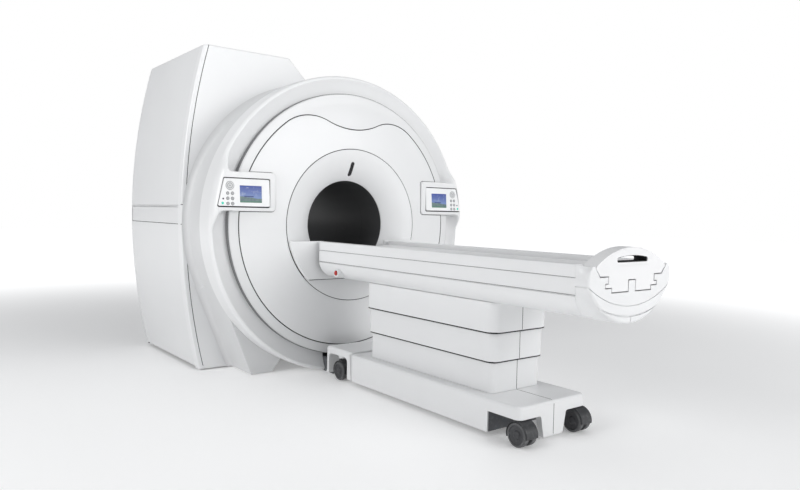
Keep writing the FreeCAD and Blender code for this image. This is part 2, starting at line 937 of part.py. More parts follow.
def side_shell(label, recess, x1, x2, z1, z2):
    """A piece of the side walls: the shell between two outlines, kept inside a window."""
    body = on_axis(label)
    start = d.tower_front + d.tower_strip + d.seam
    length = d.tower_depth - d.tower_strip - d.seam * 2
    sketch = new_sketch(body, at=start)
    outline(sketch, tower_outline(recess))
    pad(body, sketch, length)
    sketch = new_sketch(body, at=start - 1)
    outline(sketch, tower_outline(recess + d.wall))
    pocket(body, sketch, length + 2)
    sketch = new_sketch(body, at=start - 1)
    far = d.ring_radius * 1.4
    box_outline(sketch, -far, far, -far, far)
    box_outline(sketch, x1, x2, z1, z2)
    pocket(body, sketch, length + 2)
    keep(body)


def build_sides():
    far = d.ring_radius * 1.3
    half = d.seam / 2
    split = -(d.shoulder_x)
    skirt = d.skirt_gap - d.iso_height + d.wall * 2
    windows = {"left": (-far, split - half), "right": (split + half, far)}
    for word, (x1, x2) in windows.items():
        side_shell(f"side_lower_{word}", ZERO, x1, x2, skirt, -d.band_low - half)
        side_shell(f"side_band_{word}", d.band_inset, x1, x2, -d.band_low + half, d.band_high - half)
        side_shell(f"side_upper_{word}", ZERO, x1, x2, d.band_high + half, far)


def build_rear_cover():
    body = on_axis("rear_cover")
    start = d.tower_front + d.tower_depth
    sketch = new_sketch(body, at=start)
    outline(sketch, tower_outline(ZERO))
    many_sided(sketch, ZERO, ZERO, d.rear_mouth, ROUND_SIDES)
    pad(body, sketch, d.wall)
    mouth = d.bore_radius + 1
    front, back = start - d.rear_funnel, start + d.wall
    lofted(body, [(mouth + d.wall, front), (d.rear_mouth + d.wall, back)])
    lofted(body, [(mouth, front - 1), (d.rear_mouth, back + 1)], cut=True)
    keep(body)


# ---------------------------------------------------------------- magnet inside
def ring_body(label, inner, outer, start, length):
    body = on_axis(label)
    sketch = new_sketch(body, at=start)
    many_sided(sketch, ZERO, ZERO, outer, HIDDEN_SIDES)
    many_sided(sketch, ZERO, ZERO, inner, HIDDEN_SIDES)
    pad(body, sketch, length)
    keep(body)


def build_turret():
    """The cryostat's service neck under the tower's top, cut to the vessel's round."""
    body = on_axis("service_turret")
    sketch = new_sketch(body, "XY_Plane", at=d.vessel_radius * 0.7)
    middle = d.vessel_start + d.vessel_length / 2
    many_sided(sketch, -d.turret_x, middle, d.turret_radius, HIDDEN_SIDES)
    pad(body, sketch, d.turret_top - d.vessel_radius * 0.7)
    sketch = new_sketch(body)
    circle(sketch, ZERO, ZERO, d.vessel_radius + d.fit)
    pocket(body, sketch)
    keep(body)


def build_stand():
    """Two cross beams shaped to the vessel, joined by two rails."""
    body = on_axis("magnet_stand")
    seat = d.vessel_radius + d.fit
    top = d.stand_half.at_radius(seat)
    near = d.tower_front + d.wall * 4
    far = d.vessel_start + d.vessel_length - d.stand_beam * 2
    for start in (near, far):
        sketch = new_sketch(body, at=start)
        outline(
            sketch,
            [
                (-d.stand_half, -d.iso_height),
                (d.stand_half, -d.iso_height),
                (d.stand_half, -top, seat),
                (-d.stand_half, -top),
            ],
        )
        beam = pad(body, sketch, d.stand_beam)
        if start is near:
            sketch = new_sketch(body, at=near)
            for side in (1, -1):
                inner = (d.stand_half - d.stand_rail * 2) * side
                outer = (d.stand_half - d.stand_rail) * side
                box_outline(sketch, inner, outer, -d.iso_height, -d.iso_height + d.stand_rail)
            beam = pad(body, sketch, far - near + d.stand_beam / 2)
    keep(body)


def build_dock_frame():
    """The floor-level frame on the magnet that the table's arm docks against."""
    body = on_axis("dock_frame")
    start = -(d.arm_front - d.fit)
    sketch = new_sketch(body, at=start)
    low = -d.iso_height
    box_outline(sketch, -d.dock_half, d.dock_half, low, low + d.dock_height)
    block = pad(body, sketch, d.dock_back - start)
    front = start.value
    top = low.value + d.dock_height.value
    rounded(body, block, lambda e: lies_at(e, "Y", front) and lies_at(e, "Z", top), Size.of(12), CHAMFER)
    sketch = new_sketch(body, at=start - 1)
    slot = d.dock_slot
    outline(sketch, [(-slot, low + 20), (slot, low + 20), (slot / 2, low + 60), (-slot / 2, low + 60)])
    pocket(body, sketch, slot)
    keep(body)


# ---------------------------------------------------------------- patient table
def mirrored(path):
    """The path's mirror image in X, walked the other way, with its bows kept."""
    result = []
    for k in range(len(path) - 1, -1, -1):
        point = (-path[k][0], path[k][1])
        if k > 0 and len(path[k - 1]) == 3:
            point += (path[k - 1][2],)
        result.append(point)
    return result


def notch(x, z, half, deep):
    """A small groove in the table's upright side."""
    return [(x, z + half), (x - deep, z + half), (x - deep, z - half), (x, z - half)]


def build_table_body():
    body = new_body("table_body")
    sketch = new_sketch(body, at=-d.table_end)
    outer, wall = d.table_half, d.table_wall
    hull_z = d.groove_z - d.groove_half
    down = [(outer, d.table_top)]
    down += notch(outer, d.line_z, d.line_half, d.line_deep)
    down += notch(outer, d.groove_z, d.groove_half, d.groove_deep)[:3]
    belly = (d.hull_flat, d.table_bottom)
    down += bowed((outer, hull_z), belly, d.hull_rise, 4) + [belly]
    inner_belly = (d.hull_flat - 4, d.table_bottom + wall)
    up = bowed(inner_belly, (outer - wall, hull_z - 4), -d.hull_rise, 4)
    up += [
        (outer - wall, hull_z - 4),
        (outer - wall, d.ledge_z - d.ledge_thick),
        (d.ledge_half, d.ledge_z - d.ledge_thick),
        (d.ledge_half, d.ledge_z),
        (d.rail_inner, d.ledge_z),
        (d.rail_inner, d.table_top),
    ]
    outline(sketch, down + mirrored(down) + mirrored(up) + up)
    pad(body, sketch, d.table_end - d.table_front)
    sketch = new_sketch(body, "XY_Plane", at=d.table_bottom - 60)
    room = d.tier_half - d.tier_wall
    box_outline(sketch, -room, room, -(d.tier_end - d.tier_wall), -(d.tier_front + d.tier_wall))
    pocket(body, sketch, wall * 2 + 60)
    for side in (1, -1):
        sketch = new_sketch(body, "YZ_Plane", at=d.stop_lug_in * side)
        many_sided(sketch, -d.stop_y, d.stop_z, d.stop_lug, PAD_SIDES)
        pad(body, sketch, d.stop_lug_out - d.stop_lug_in, flip=side < 0)
        sketch = new_sketch(body, "YZ_Plane", at=(d.stop_out - d.stop_depth - 6) * side)
        many_sided(sketch, -d.stop_y, d.stop_z, d.stop_radius + 0.5, PAD_SIDES)
        pocket(body, sketch, Size.of(60), flip=side > 0)
    keep(body)


def build_stop_button(side, word):
    body = new_body(f"stop_button_{word}")
    sketch = new_sketch(body, "YZ_Plane", at=(d.stop_out - d.stop_depth) * side)
    many_sided(sketch, -d.stop_y, d.stop_z, d.stop_radius, PAD_SIDES)
    pad(body, sketch, d.stop_depth, flip=side < 0)
    keep(body)


def puzzle(gap):
    """The stepped profile that the cradle's end and the cap share, down the right half."""
    low_c, low_e, low_f = d.step_c - gap, d.step_e - gap, d.step_f - gap
    return [
        (d.step_a_half + gap, d.step_a),
        (d.step_c_half + gap, low_c),
        (d.step_d_half + gap, low_c),
        (d.step_d_half + gap, d.step_d + gap),
        (d.step_e_half + gap, d.step_d + gap),
        (d.step_e_half + gap, low_e),
        (d.step_f_half + gap, low_e),
        (d.step_f_half + gap, low_f),
        (d.tooth_half - gap, low_f),
        (d.tooth_half - gap, d.tooth_top - gap),
    ]


def smile(body, z, dip, width, deep):
    """A groove across the end face that dips in the middle."""
    sketch = new_sketch(body, at=-d.cap_end - 1)
    half = d.cap_cut_half
    rise = dip / half / 2
    upper = bowed((-half, z), (half, z), -rise, 8)
    lower = bowed((half, z - width), (-half, z - width), rise, 8)
    outline(sketch, upper + [(half, z)] + lower + [(-half, z - width)])
    pocket(body, sketch, deep + 1)


def build_end_cap():
    body = new_body("end_cap")
    sketch = new_sketch(body, at=-d.cap_end)
    top = (d.cap_top_half, d.cap_top)
    widest = (d.cap_wide, d.cap_wide_z)
    bottom = (ZERO, d.cap_bottom)
    outer = bowed(top, widest, d.cap_side_rise, 3)
    outer += bowed(widest, bottom, d.cap_rise, 7) + [bottom]
    steps = puzzle(d.puzzle_gap)
    rim = (d.step_a_half + d.puzzle_gap, d.cap_top)
    left_down = [(-x, z) for x, z in [rim] + steps]
    right_up = list(reversed([rim] + steps))
    outline(sketch, outer[:-1] + mirrored(outer) + left_down + right_up)
    block = pad(body, sketch, d.cap_end - d.table_end - d.fit)
    front = -d.cap_end.value
    steps_reach = rim[0].value
    steps_low = d.step_f.value - 10

    def outer_edge(e):
        middle = e.CenterOfMass
        outside = abs(middle.x) > steps_reach or middle.z < steps_low
        return lies_at(e, "Y", front) and outside and middle.z < d.cap_top.value - 1

    rounded(body, block, outer_edge, d.cap_round, CHAMFER)
    smile(body, d.cap_groove_z, d.cap_groove_dip, d.groove_half * 2, d.groove_deep)
    smile(body, d.cap_line_z, d.cap_line_dip, d.line_half * 2, d.line_deep)
    keep(body)


def build_cradle():
    body = new_body("cradle")
    sketch = new_sketch(body, at=-d.grip_start - 4)
    half, rim = d.cradle_half, d.cradle_rim
    bottom = d.ledge_z + d.fit
    outline(
        sketch,
        [
            (-half, bottom),
            (half, bottom),
            (half, d.cradle_top),
            (half - rim, d.cradle_top, d.cradle_bow),
            (-(half - rim), d.cradle_top),
            (-half, d.cradle_top),
        ],
    )
    pad(body, sketch, d.grip_start + 4 - d.cradle_front)
    sketch = new_sketch(body, at=-d.cap_end)
    steps = puzzle(ZERO)
    outline(
        sketch,
        [(-d.grip_half, d.grip_low, d.grip_bow), (d.grip_half, d.grip_low)] + steps + mirrored(steps),
    )
    slot = d.grip_slot_half
    outline(
        sketch,
        [
            (-slot, d.grip_slot_low),
            (slot, d.grip_slot_low),
            (slot, d.grip_slot_high, -d.grip_slot_bow),
            (-slot, d.grip_slot_high),
        ],
    )
    pad(body, sketch, d.cap_end - d.grip_start)
    keep(body)


# ---------------------------------------------------------------- telescoping column
def rounded_box(sketch, half, y1, y2, corner):
    """An upright shell's plan: a rectangle in X and Y with rounded corners."""
    corners = []
    right, left = half - corner, corner - half
    near, far = y1 + corner, y2 - corner
    for quarter, (x, y) in enumerate([(right, far), (left, far), (left, near), (right, near)]):
        for k in range(CORNER_RUNS + 1):
            turn = math.pi / 2 * (quarter + k / CORNER_RUNS)
            corners.append((x + corner * round(math.cos(turn), 5), y + corner * round(math.sin(turn), 5)))
    outline(sketch, corners)


def build_tier(label, count, low, high):
    """One shell of the column, 'count' steps in from the widest, with a guide rim on top."""
    body = new_body(label)
    sketch = new_sketch(body, "XY_Plane", at=low)
    step = d.tier_step * count
    for inset in (step, step + d.tier_wall):
        y1 = -(d.tier_end - inset)
        y2 = -(d.tier_front + inset)
        rounded_box(sketch, d.tier_half - inset, y1, y2, d.tier_corner - inset)
    pad(body, sketch, high - low)
    if count > 0:
        sketch = new_sketch(body, "XY_Plane", at=high - d.tier_rim)
        reach = step - d.tier_step + d.tier_wall + d.fit
        for inset in (reach, step + 1):
            y1 = -(d.tier_end - inset)
            y2 = -(d.tier_front + inset)
            rounded_box(sketch, d.tier_half - inset, y1, y2, d.tier_corner - inset)
        pad(body, sketch, d.tier_rim)
    keep(body)


def build_lift():
    seat = d.base_top + d.fit
    body = new_body("lift_barrel")
    outer = d.lift_radius
    for radius, low, high in ((outer, d.lift_low, d.lift_high), (d.lift_flange, seat, seat + 8)):
        sketch = new_sketch(body, "XY_Plane", at=low)
        many_sided(sketch, ZERO, -d.lift_y, radius, HIDDEN_SIDES)
        pad(body, sketch, high - low)
    sketch = new_sketch(body, "XY_Plane", at=d.lift_low + 6)
    many_sided(sketch, ZERO, -d.lift_y, outer - d.lift_wall, HIDDEN_SIDES)
    pocket(body, sketch, d.lift_high)
    keep(body)
    body = new_body("lift_rod")
    sketch = new_sketch(body, "XY_Plane", at=d.rod_low)
    many_sided(sketch, ZERO, -d.lift_y, outer - d.lift_wall - d.fit, HIDDEN_SIDES)
    pad(body, sketch, d.rod_high - d.rod_low + 2)
    sketch = new_sketch(body, "XY_Plane", at=d.rod_high)
    deep = d.rod_plate_deep
    half = d.table_half - d.table_wall - d.fit
    box_outline(sketch, -half, half, -d.lift_y - deep, -d.lift_y + deep)
    pad(body, sketch, d.rod_plate_thick)
    keep(body)


# ---------------------------------------------------------------- base and docking arm
def build_base_cover():
    body = new_body("base_cover")
    y1, y2 = -d.base_end, -d.base_front
    sketch = new_sketch(body, "XY_Plane", at=d.base_low)
    rounded_box(sketch, d.base_half, y1, y2, d.base_corner)
    block = pad(body, sketch, d.base_top - d.base_low)
    top = d.base_top.value
    rounded(body, block, lambda e: lies_at(e, "Z", top), d.base_edge, CHAMFER)
    wall = d.base_wall
    sketch = new_sketch(body, "XY_Plane", at=d.base_low - 1)
    rounded_box(sketch, d.base_half - wall, y1 + wall, y2 - wall, d.base_corner - wall)
    pocket(body, sketch, d.base_top - d.base_low - wall * 2 + 1)
    for side in (1, -1):
        sketch = new_sketch(body, at=y1 - 1)
        far = (d.base_half + 10) * side
        low = d.base_low - 10
        corners = [
            (d.leg_top_half * side, d.arch_top),
            (far, d.arch_top),
            (far, low),
            (d.leg_low_half * side, low),
        ]
        outline(sketch, corners)
        pocket(body, sketch, d.base_end - d.arch_start)
    sketch = new_sketch(body, at=y1 + 2)
    top_z = d.base_top - wall
    outline(
        sketch,
        [
            (-d.leg_low_half, d.leg_low),
            (d.leg_low_half, d.leg_low),
            (d.leg_top_half, d.arch_top),
            (d.leg_top_half, top_z),
            (-d.leg_top_half, top_z),
            (-d.leg_top_half, d.arch_top),
        ],
    )
    pad(body, sketch, d.base_corner)
    sketch = new_sketch(body, "XY_Plane", at=d.caster_ceiling)
    block = d.caster_block
    for side in (1, -1):
        x1, x2 = (d.caster_x - block) * side, (d.caster_x + block - d.base_edge) * side
        box_outline(sketch, x1, x2, -d.caster_end_y - block + wall * 2, -d.caster_end_y + block)
    pad(body, sketch, top_z + 2 - d.caster_ceiling)
    sketch = new_sketch(body, "XY_Plane", at=d.base_top - 40)
    many_sided(sketch, ZERO, -d.lift_y, d.lift_radius + 2, HIDDEN_SIDES)
    pocket(body, sketch, Size.of(60))
    keep(body)


def build_dock_arm():
    """The arm that reaches to the magnet, an arch over the front casters."""
    body = new_body("dock_arm")
    back = -(d.base_front - d.seam)
    front = -d.arm_front
    sketch = new_sketch(body, "YZ_Plane", at=-d.arm_half)
    outline(
        sketch,
        [
            (back, d.base_low),
            (back, d.arm_top),
            (front, d.arm_top),
            (front, d.base_low),
            (-d.arm_arch_front, d.base_low),
            (-d.arm_arch_front, d.arm_arch_top),
            (-d.arm_arch_back, d.arm_arch_top),
            (-d.arm_arch_back, d.base_low),
        ],
    )
    block = pad(body, sketch, d.arm_half * 2, flip=False)
    top, front_y = d.arm_top.value, front.value

    def outer_edge(e):
        on_top = lies_at(e, "Z", top) and not lies_at(e, "Y", back.value)
        return on_top or (lies_at(e, "Y", front_y) and along(e, "Z"))

    rounded(body, block, outer_edge, d.arm_edge, CHAMFER)
    sketch = new_sketch(body, "XY_Plane", at=d.caster_ceiling)
    for side in (1, -1):
        many_sided(sketch, d.caster_x * side, -d.caster_dock_y, d.stem_radius * 2, PAD_SIDES)
    pad(body, sketch, d.arm_arch_top + 4 - d.caster_ceiling)
    keep(body)


# ---------------------------------------------------------------- casters
def build_caster(word, x, y):
    hood = new_body(f"caster_fork_{word}")
    place(hood, x=x, y=y)
    half = d.hood_half
    sketch = new_sketch(hood, "YZ_Plane", at=-half)
    many_sided(sketch, -d.wheel_trail, d.wheel_radius, d.hood_radius, PAD_SIDES)
    pad(hood, sketch, half * 2, flip=False)
    sketch = new_sketch(hood, "YZ_Plane", at=-half)
    neck_top = d.wheel_radius * 2 + 4
    box_outline(sketch, -d.wheel_trail - half, d.stem_radius, d.wheel_radius, neck_top)
    pad(hood, sketch, half * 2, flip=False)
    sketch = new_sketch(hood, "YZ_Plane", at=-half - 1)
    circle(sketch, -d.wheel_trail, d.wheel_radius, d.axle_radius + d.fit)
    pocket(hood, sketch, half * 2 + 2, flip=True)
    sketch = new_sketch(hood, "XY_Plane", at=neck_top - 2)
    circle(sketch, ZERO, ZERO, d.stem_radius)
    pad(hood, sketch, d.caster_ceiling - d.fit - neck_top + 2)
    keep(hood)

    wheels = new_body(f"caster_wheels_{word}")
    place(wheels, x=x, y=y - d.wheel_trail, z=d.wheel_radius)
    outer = d.wheel_gap + d.wheel_wide
    for side in (1, -1):
        sketch = new_sketch(wheels, "YZ_Plane", at=d.wheel_gap * side)
        many_sided(sketch, ZERO, ZERO, d.wheel_radius, WHEEL_SIDES)
        disc = pad(wheels, sketch, d.wheel_wide, flip=side < 0)
        if side > 0:
            sketch = new_sketch(wheels, "YZ_Plane", at=-d.wheel_gap - 1)
            many_sided(sketch, ZERO, ZERO, d.axle_radius, KEY_SIDES)
            pad(wheels, sketch, d.wheel_gap * 2 + 2, flip=False)
    faces = (outer.value, -outer.value)
    rounded(
        wheels,
        disc,
        lambda e: any(lies_at(e, "X", face) for face in faces),
        d.wheel_round,
        CHAMFER,
    )
    keep(wheels)


# ---------------------------------------------------------------- build, check and write
build_front_cover()
build_badge_band()
build_gantry_ring()
build_neck_shroud()
build_front_funnel()
build_laser_window()
build_bore_liner()
build_bridge()
build_lower_panel()
for side, word in ((1, "right"), (-1, "left")):
    build_panel(side, word)
    build_stop_button(side, word)
build_tower_front()
build_sides()
build_rear_cover()
ring_body("magnet_vessel", d.vessel_bore, d.vessel_radius, d.vessel_start, d.vessel_length)
clear_of_liner = (d.bore_radius + 8 + d.fit) * round(1 / math.cos(math.pi / HIDDEN_SIDES), 5)
ring_body("gradient_coil", clear_of_liner, d.vessel_bore - d.fit, d.coil_start, d.coil_length)
build_turret()
build_stand()
build_dock_frame()
build_table_body()
build_end_cap()
build_cradle()
build_tier("tier_upper", 0, d.tier_one, d.table_bottom - d.fit)
build_tier("tier_middle", 1, d.tier_two, d.tier_two_top)
build_tier("tier_lower", 2, d.base_top + d.fit, d.tier_three_top)
build_lift()
build_base_cover()
build_dock_arm()
for word, x, y in (
    ("end_right", d.caster_x, -d.caster_end_y),
    ("end_left", -d.caster_x, -d.caster_end_y),
    ("dock_right", d.caster_x, -d.caster_dock_y),
    ("dock_left", -d.caster_x, -d.caster_dock_y),
):
    build_caster(word, x, y)

doc.recompute()
LOFTED = {"front_cover", "badge_band", "front_funnel", "rear_cover"}
faults = []
shapes = {}
for thing in doc.Objects:
    if {"Invalid", "Error"} & set(thing.State):
        owner = thing.getParentGeoFeatureGroup()
        faults.append(f"{owner.Label if owner else ''}/{thing.Label} {thing.State}")
for thing in finished:
    shape = thing.Shape
    if shape.isNull() or not shape.isValid() or len(shape.Solids) != 1:
        faults.append(f"{thing.Label} has {len(shape.Solids)} solids")
        continue
    shapes[thing.Label] = with_flat_facets(shape) if thing.Label in LOFTED else shape
    if not shapes[thing.Label].isValid() or abs(shapes[thing.Label].Volume / shape.Volume - 1) > 1e-3:
        faults.append(f"{thing.Label} doesn't close with flat facets")
if faults:
    raise ValueError("\n".join(faults))
for label, shape in shapes.items():
    shape.exportStep(os.path.join(NODES, f"{label}.step"))
print(len(shapes), "sub-parts")
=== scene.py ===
"""The looks of the MRI scanner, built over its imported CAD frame.

Lengths are millimetres in the code and metres in the meshes. X = 0 is the bore's middle plane, Z = 0
the floor, Y = 0 the plane of the front cover's inner rim, and the patient table reaches towards -Y.
"""

import json
import logging
import math
from collections.abc import Callable, Iterable, Sequence
from dataclasses import dataclass, field
from enum import Enum
from functools import partialmethod

import bmesh
import bpy
from mathutils import Matrix, Vector
from mathutils.geometry import tessellate_polygon

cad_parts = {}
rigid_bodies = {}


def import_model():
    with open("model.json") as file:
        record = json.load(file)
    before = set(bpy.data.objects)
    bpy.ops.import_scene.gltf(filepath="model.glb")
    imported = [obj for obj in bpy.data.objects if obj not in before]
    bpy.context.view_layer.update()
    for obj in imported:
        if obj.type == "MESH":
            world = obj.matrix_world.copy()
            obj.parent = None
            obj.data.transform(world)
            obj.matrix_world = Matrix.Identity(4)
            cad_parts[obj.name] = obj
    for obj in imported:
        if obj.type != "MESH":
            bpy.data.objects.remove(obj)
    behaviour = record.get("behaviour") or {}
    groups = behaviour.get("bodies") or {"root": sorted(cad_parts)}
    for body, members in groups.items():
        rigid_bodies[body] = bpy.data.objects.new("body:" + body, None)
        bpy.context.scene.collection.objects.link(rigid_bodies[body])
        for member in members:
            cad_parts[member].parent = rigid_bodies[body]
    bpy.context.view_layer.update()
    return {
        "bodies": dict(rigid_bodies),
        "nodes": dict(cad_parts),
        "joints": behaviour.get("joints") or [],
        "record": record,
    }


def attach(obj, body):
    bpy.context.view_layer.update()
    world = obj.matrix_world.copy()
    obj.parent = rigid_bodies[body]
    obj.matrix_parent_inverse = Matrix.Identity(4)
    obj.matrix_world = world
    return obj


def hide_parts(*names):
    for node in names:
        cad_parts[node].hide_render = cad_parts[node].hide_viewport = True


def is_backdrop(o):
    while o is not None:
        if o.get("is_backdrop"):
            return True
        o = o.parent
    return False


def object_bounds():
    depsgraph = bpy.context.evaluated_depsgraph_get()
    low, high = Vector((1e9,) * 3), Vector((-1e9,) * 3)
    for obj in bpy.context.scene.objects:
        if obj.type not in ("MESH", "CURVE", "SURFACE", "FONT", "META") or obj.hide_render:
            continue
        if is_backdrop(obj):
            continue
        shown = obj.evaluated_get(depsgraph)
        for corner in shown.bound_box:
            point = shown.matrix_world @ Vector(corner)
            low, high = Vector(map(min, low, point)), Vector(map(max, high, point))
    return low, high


log = logging.getLogger("scanner")

Point = tuple[float, float]
Corner = tuple[float, ...]
Path = list[Point]
Spot = tuple[float, float, float]
Colour = tuple[float, float, float]
Settings = dict[str, object]
Inputs = dict[str | int, object]
Mesh = bmesh.types.BMesh
Piece = bpy.types.Object

# Sizes are in millimetres, and MM turns them into metres.
MM = 0.001
# The height of the bore's axis over the floor.
AXIS = 985.0
# The radius that a turned piece's section has at its axis.
NEAR_ZERO = 0.01
# Points nearer to each other than this become one.
MERGE = 0.02
# The sides of the dark upright joint lines of the table's column and base.
JOINT = (-1.7, 1.7)
# Where the casters' stems stand.
CASTER_X = 200.0
CASTER_Y = {"end": -1710.0, "dock": -195.0}
# The body that carries everything that stands still.
GANTRY = "gantry"
# The picture's width and height in pixels.
PICTURE = (800, 490)


class Axis(Enum):
    """The way a prism or a turned piece runs; BORE runs along Y, with heights from the bore's axis."""

    BORE = "BORE"
    X = "X"
    Y = "Y"
    Z = "Z"

    def order(self, a: float, b: float, run: float) -> Spot:
        """The point (x, y, z) with the flat coordinates a and b, and 'run' along the axis.

        Args:
            a: The first flat coordinate.
            b: The second one.
            run: The place along the axis.

        Returns:
            The point in millimetres.
        """
        if self is Axis.X:
            return run, a, b
        return (a, b, run) if self is Axis.Z else (a, run, b)

    def place(self, a: float, b: float, run: float) -> Vector:
        """That point in metres, over the floor.

        Args:
            a: The first flat coordinate.
            b: The second one.
            run: The place along the axis.

        Returns:
            The point in metres.
        """
        spot = Vector(self.order(a, b, run)) * MM
        if self is Axis.BORE:
            spot.z += AXIS * MM
        return spot


class Side(Enum):
    """The scanner's two sides, as seen from the front."""

    LEFT = -1
    RIGHT = 1

    @property
    def word(self) -> str:
        """The side's word in node names."""
        return self.name.lower()


def at(x: float, y: float, z: float) -> Vector:
    """The point in metres, z millimetres over the bore's axis."""
    return Vector((x, y, AXIS + z)) * MM


def quarter(count: int) -> list[float]:
    """The angles of a quarter turn in 'count' steps."""
    return [math.pi / 2 * k / count for k in range(count + 1)]


# ------------------------------------------------------------------------------ flat outlines
class Flat:
    """Outlines in a plane."""

    @staticmethod
    def arc(start: Point, end: Point, bow: float, count: int) -> Path:
        """The points from start to short of end on an arc.

        Args:
            start: The first point.
            end: The point where the arc ends.
            bow: The radius, above 0 where the arc stands out to the left of the way.
            count: The number of runs.

        Returns:
            The points, without the last one.
        """
        (x1, z1), (x2, z2) = start, end
        chord = math.hypot(x2 - x1, z2 - z1)
        radius = max(abs(bow), chord / 2 * 1.0001)
        side = 1 if bow > 0 else -1
        off = math.sqrt(radius * radius - chord * chord / 4)
        cx = (x1 + x2) / 2 + side * off * (z2 - z1) / chord
        cz = (z1 + z2) / 2 - side * off * (x2 - x1) / chord
        sweep = 2 * math.asin(chord / 2 / radius)
        first = math.atan2(z1 - cz, x1 - cx)
        turns = (first - side * sweep * k / count for k in range(count))
        return [(cx + radius * math.cos(t), cz + radius * math.sin(t)) for t in turns]

    @staticmethod
    def trace(corners: Sequence[Corner], count: int = 24, closed: bool = True) -> Path:
        """An outline from corners (x, z) or (x, z, bow), where a bow rounds the way to the next.

        Args:
            corners: The corners in order.
            count: The number of runs in each arc.
            closed: Whether the way goes on from the last corner to the first.

        Returns:
            The points of the outline.
        """
        points: Path = []
        for k, corner in enumerate(corners):
            last = k == len(corners) - 1
            if len(corner) == 2 or (last and not closed):
                points.append((corner[0], corner[1]))
                continue
            following = corners[(k + 1) % len(corners)]
            points += Flat.arc((corner[0], corner[1]), (following[0], following[1]), corner[2], count)
        return points

    @staticmethod
    def box(x1: float, x2: float, z1: float, z2: float) -> Path:
        """A rectangle."""
        left, right = sorted((x1, x2))
        return [(left, z1), (right, z1), (right, z2), (left, z2)]

    @staticmethod
    def ring(x: float, z: float, radius: float, count: int = 48) -> Path:
        """A circle of 'count' points round (x, z)."""
        turns = (2 * math.pi * k / count for k in range(count))
        return [(x + radius * math.cos(t), z + radius * math.sin(t)) for t in turns]

    @staticmethod
    def mirrored(path: Sequence[Point]) -> Path:
        """The mirror image in X, walked the other way."""
        return [(-x, z) for x, z in reversed(path)]

    @staticmethod
    def area(path: Sequence[Point]) -> float:
        """The signed area, above 0 where the outline turns left."""
        following = list(path[1:]) + [path[0]]
        return sum(a[0] * b[1] - b[0] * a[1] for a, b in zip(path, following)) / 2

    @staticmethod
    def soften(path: Sequence[Point], radius: float | dict[int, float], count: int = 5) -> Path:
        """The outline with its corners rounded.

        Args:
            path: The corners.
            radius: One radius for all corners, or the radii by corner number, also from the end.
            count: The runs in which a corner turns.

        Returns:
            The rounded outline.
        """
        size = len(path)
        radii = [radius if isinstance(radius, (int, float)) else 0.0] * size
        if isinstance(radius, dict):
            for k, value in radius.items():
                radii[k] = value
        points: Path = []
        for k, corner in enumerate(path):
            before, after = Vector(path[k - 1]), Vector(path[(k + 1) % size])
            here = Vector(corner)
            back, ahead = (before - here), (after - here)
            turn = back.angle(ahead, math.pi)
            if radii[k] <= 0 or turn > math.pi * 0.98:
                points.append(corner)
                continue
            reach = min(radii[k] / math.tan(turn / 2), back.length * 0.49, ahead.length * 0.49)
            start, end = here + back.normalized() * reach, here + ahead.normalized() * reach
            for j in range(count + 1):
                t = j / count
                spot = start * (1 - t) ** 2 + here * 2 * t * (1 - t) + end * t * t
                points.append((spot.x, spot.y))
        return points

    @staticmethod
    def offset(path: Sequence[Point], inset: float, weights: Sequence[float] | None = None) -> Path:
        """The outline moved inwards.

        Args:
            path: A closed outline that turns left.
            inset: The distance, towards the inside.
            weights: The share of the inset that each point takes.

        Returns:
            The moved outline.
        """
        size = len(path)
        points: Path = []
        for k, (x, z) in enumerate(path):
            a = Vector((x, z)) - Vector(path[k - 1])
            b = Vector(path[(k + 1) % size]) - Vector((x, z))
            normal = Vector((-a.y, a.x)).normalized() + Vector((-b.y, b.x)).normalized()
            if normal.length < 1e-6:
                normal = Vector((-a.y, a.x))
            normal.normalize()
            lean = max(0.4, normal.dot(Vector((-a.y, a.x)).normalized()))
            reach = inset / lean * (weights[k] if weights else 1.0)
            points.append((x + normal.x * reach, z + normal.y * reach))
        return points


# ------------------------------------------------------------------------------ shader nodes
class Wire:
    """One output of a shader node, with arithmetic that adds Math nodes."""

    def __init__(self, board: "Graph", socket: bpy.types.NodeSocket) -> None:
        """Keeps the board and the socket."""
        self.board = board
        self.socket = socket

    def _math(self, operation: str, *others: "Wire | float") -> "Wire":
        """A Math node on this value and the others."""
        return self.board.add("ShaderNodeMath", {"operation": operation}, dict(enumerate((self, *others))))

    __add__ = __radd__ = partialmethod(_math, "ADD")
    __sub__ = partialmethod(_math, "SUBTRACT")
    __mul__ = __rmul__ = partialmethod(_math, "MULTIPLY")
    __gt__ = partialmethod(_math, "GREATER_THAN")
    __lt__ = partialmethod(_math, "LESS_THAN")
    size = partialmethod(_math, "ABSOLUTE")
    wave = partialmethod(_math, "SINE")

    def ramp(self, low: float, high: float) -> "Wire":
        """0 at low and below, 1 at high and above, and smooth between.

        Args:
            low: Where the rise begins.
            high: Where it ends.

        Returns:
            The new value.
        """
        settings = {"interpolation_type": "SMOOTHSTEP"}
        inputs = {"Value": self, "From Min": low, "From Max": high}
        return self.board.add("ShaderNodeMapRange", settings, inputs)


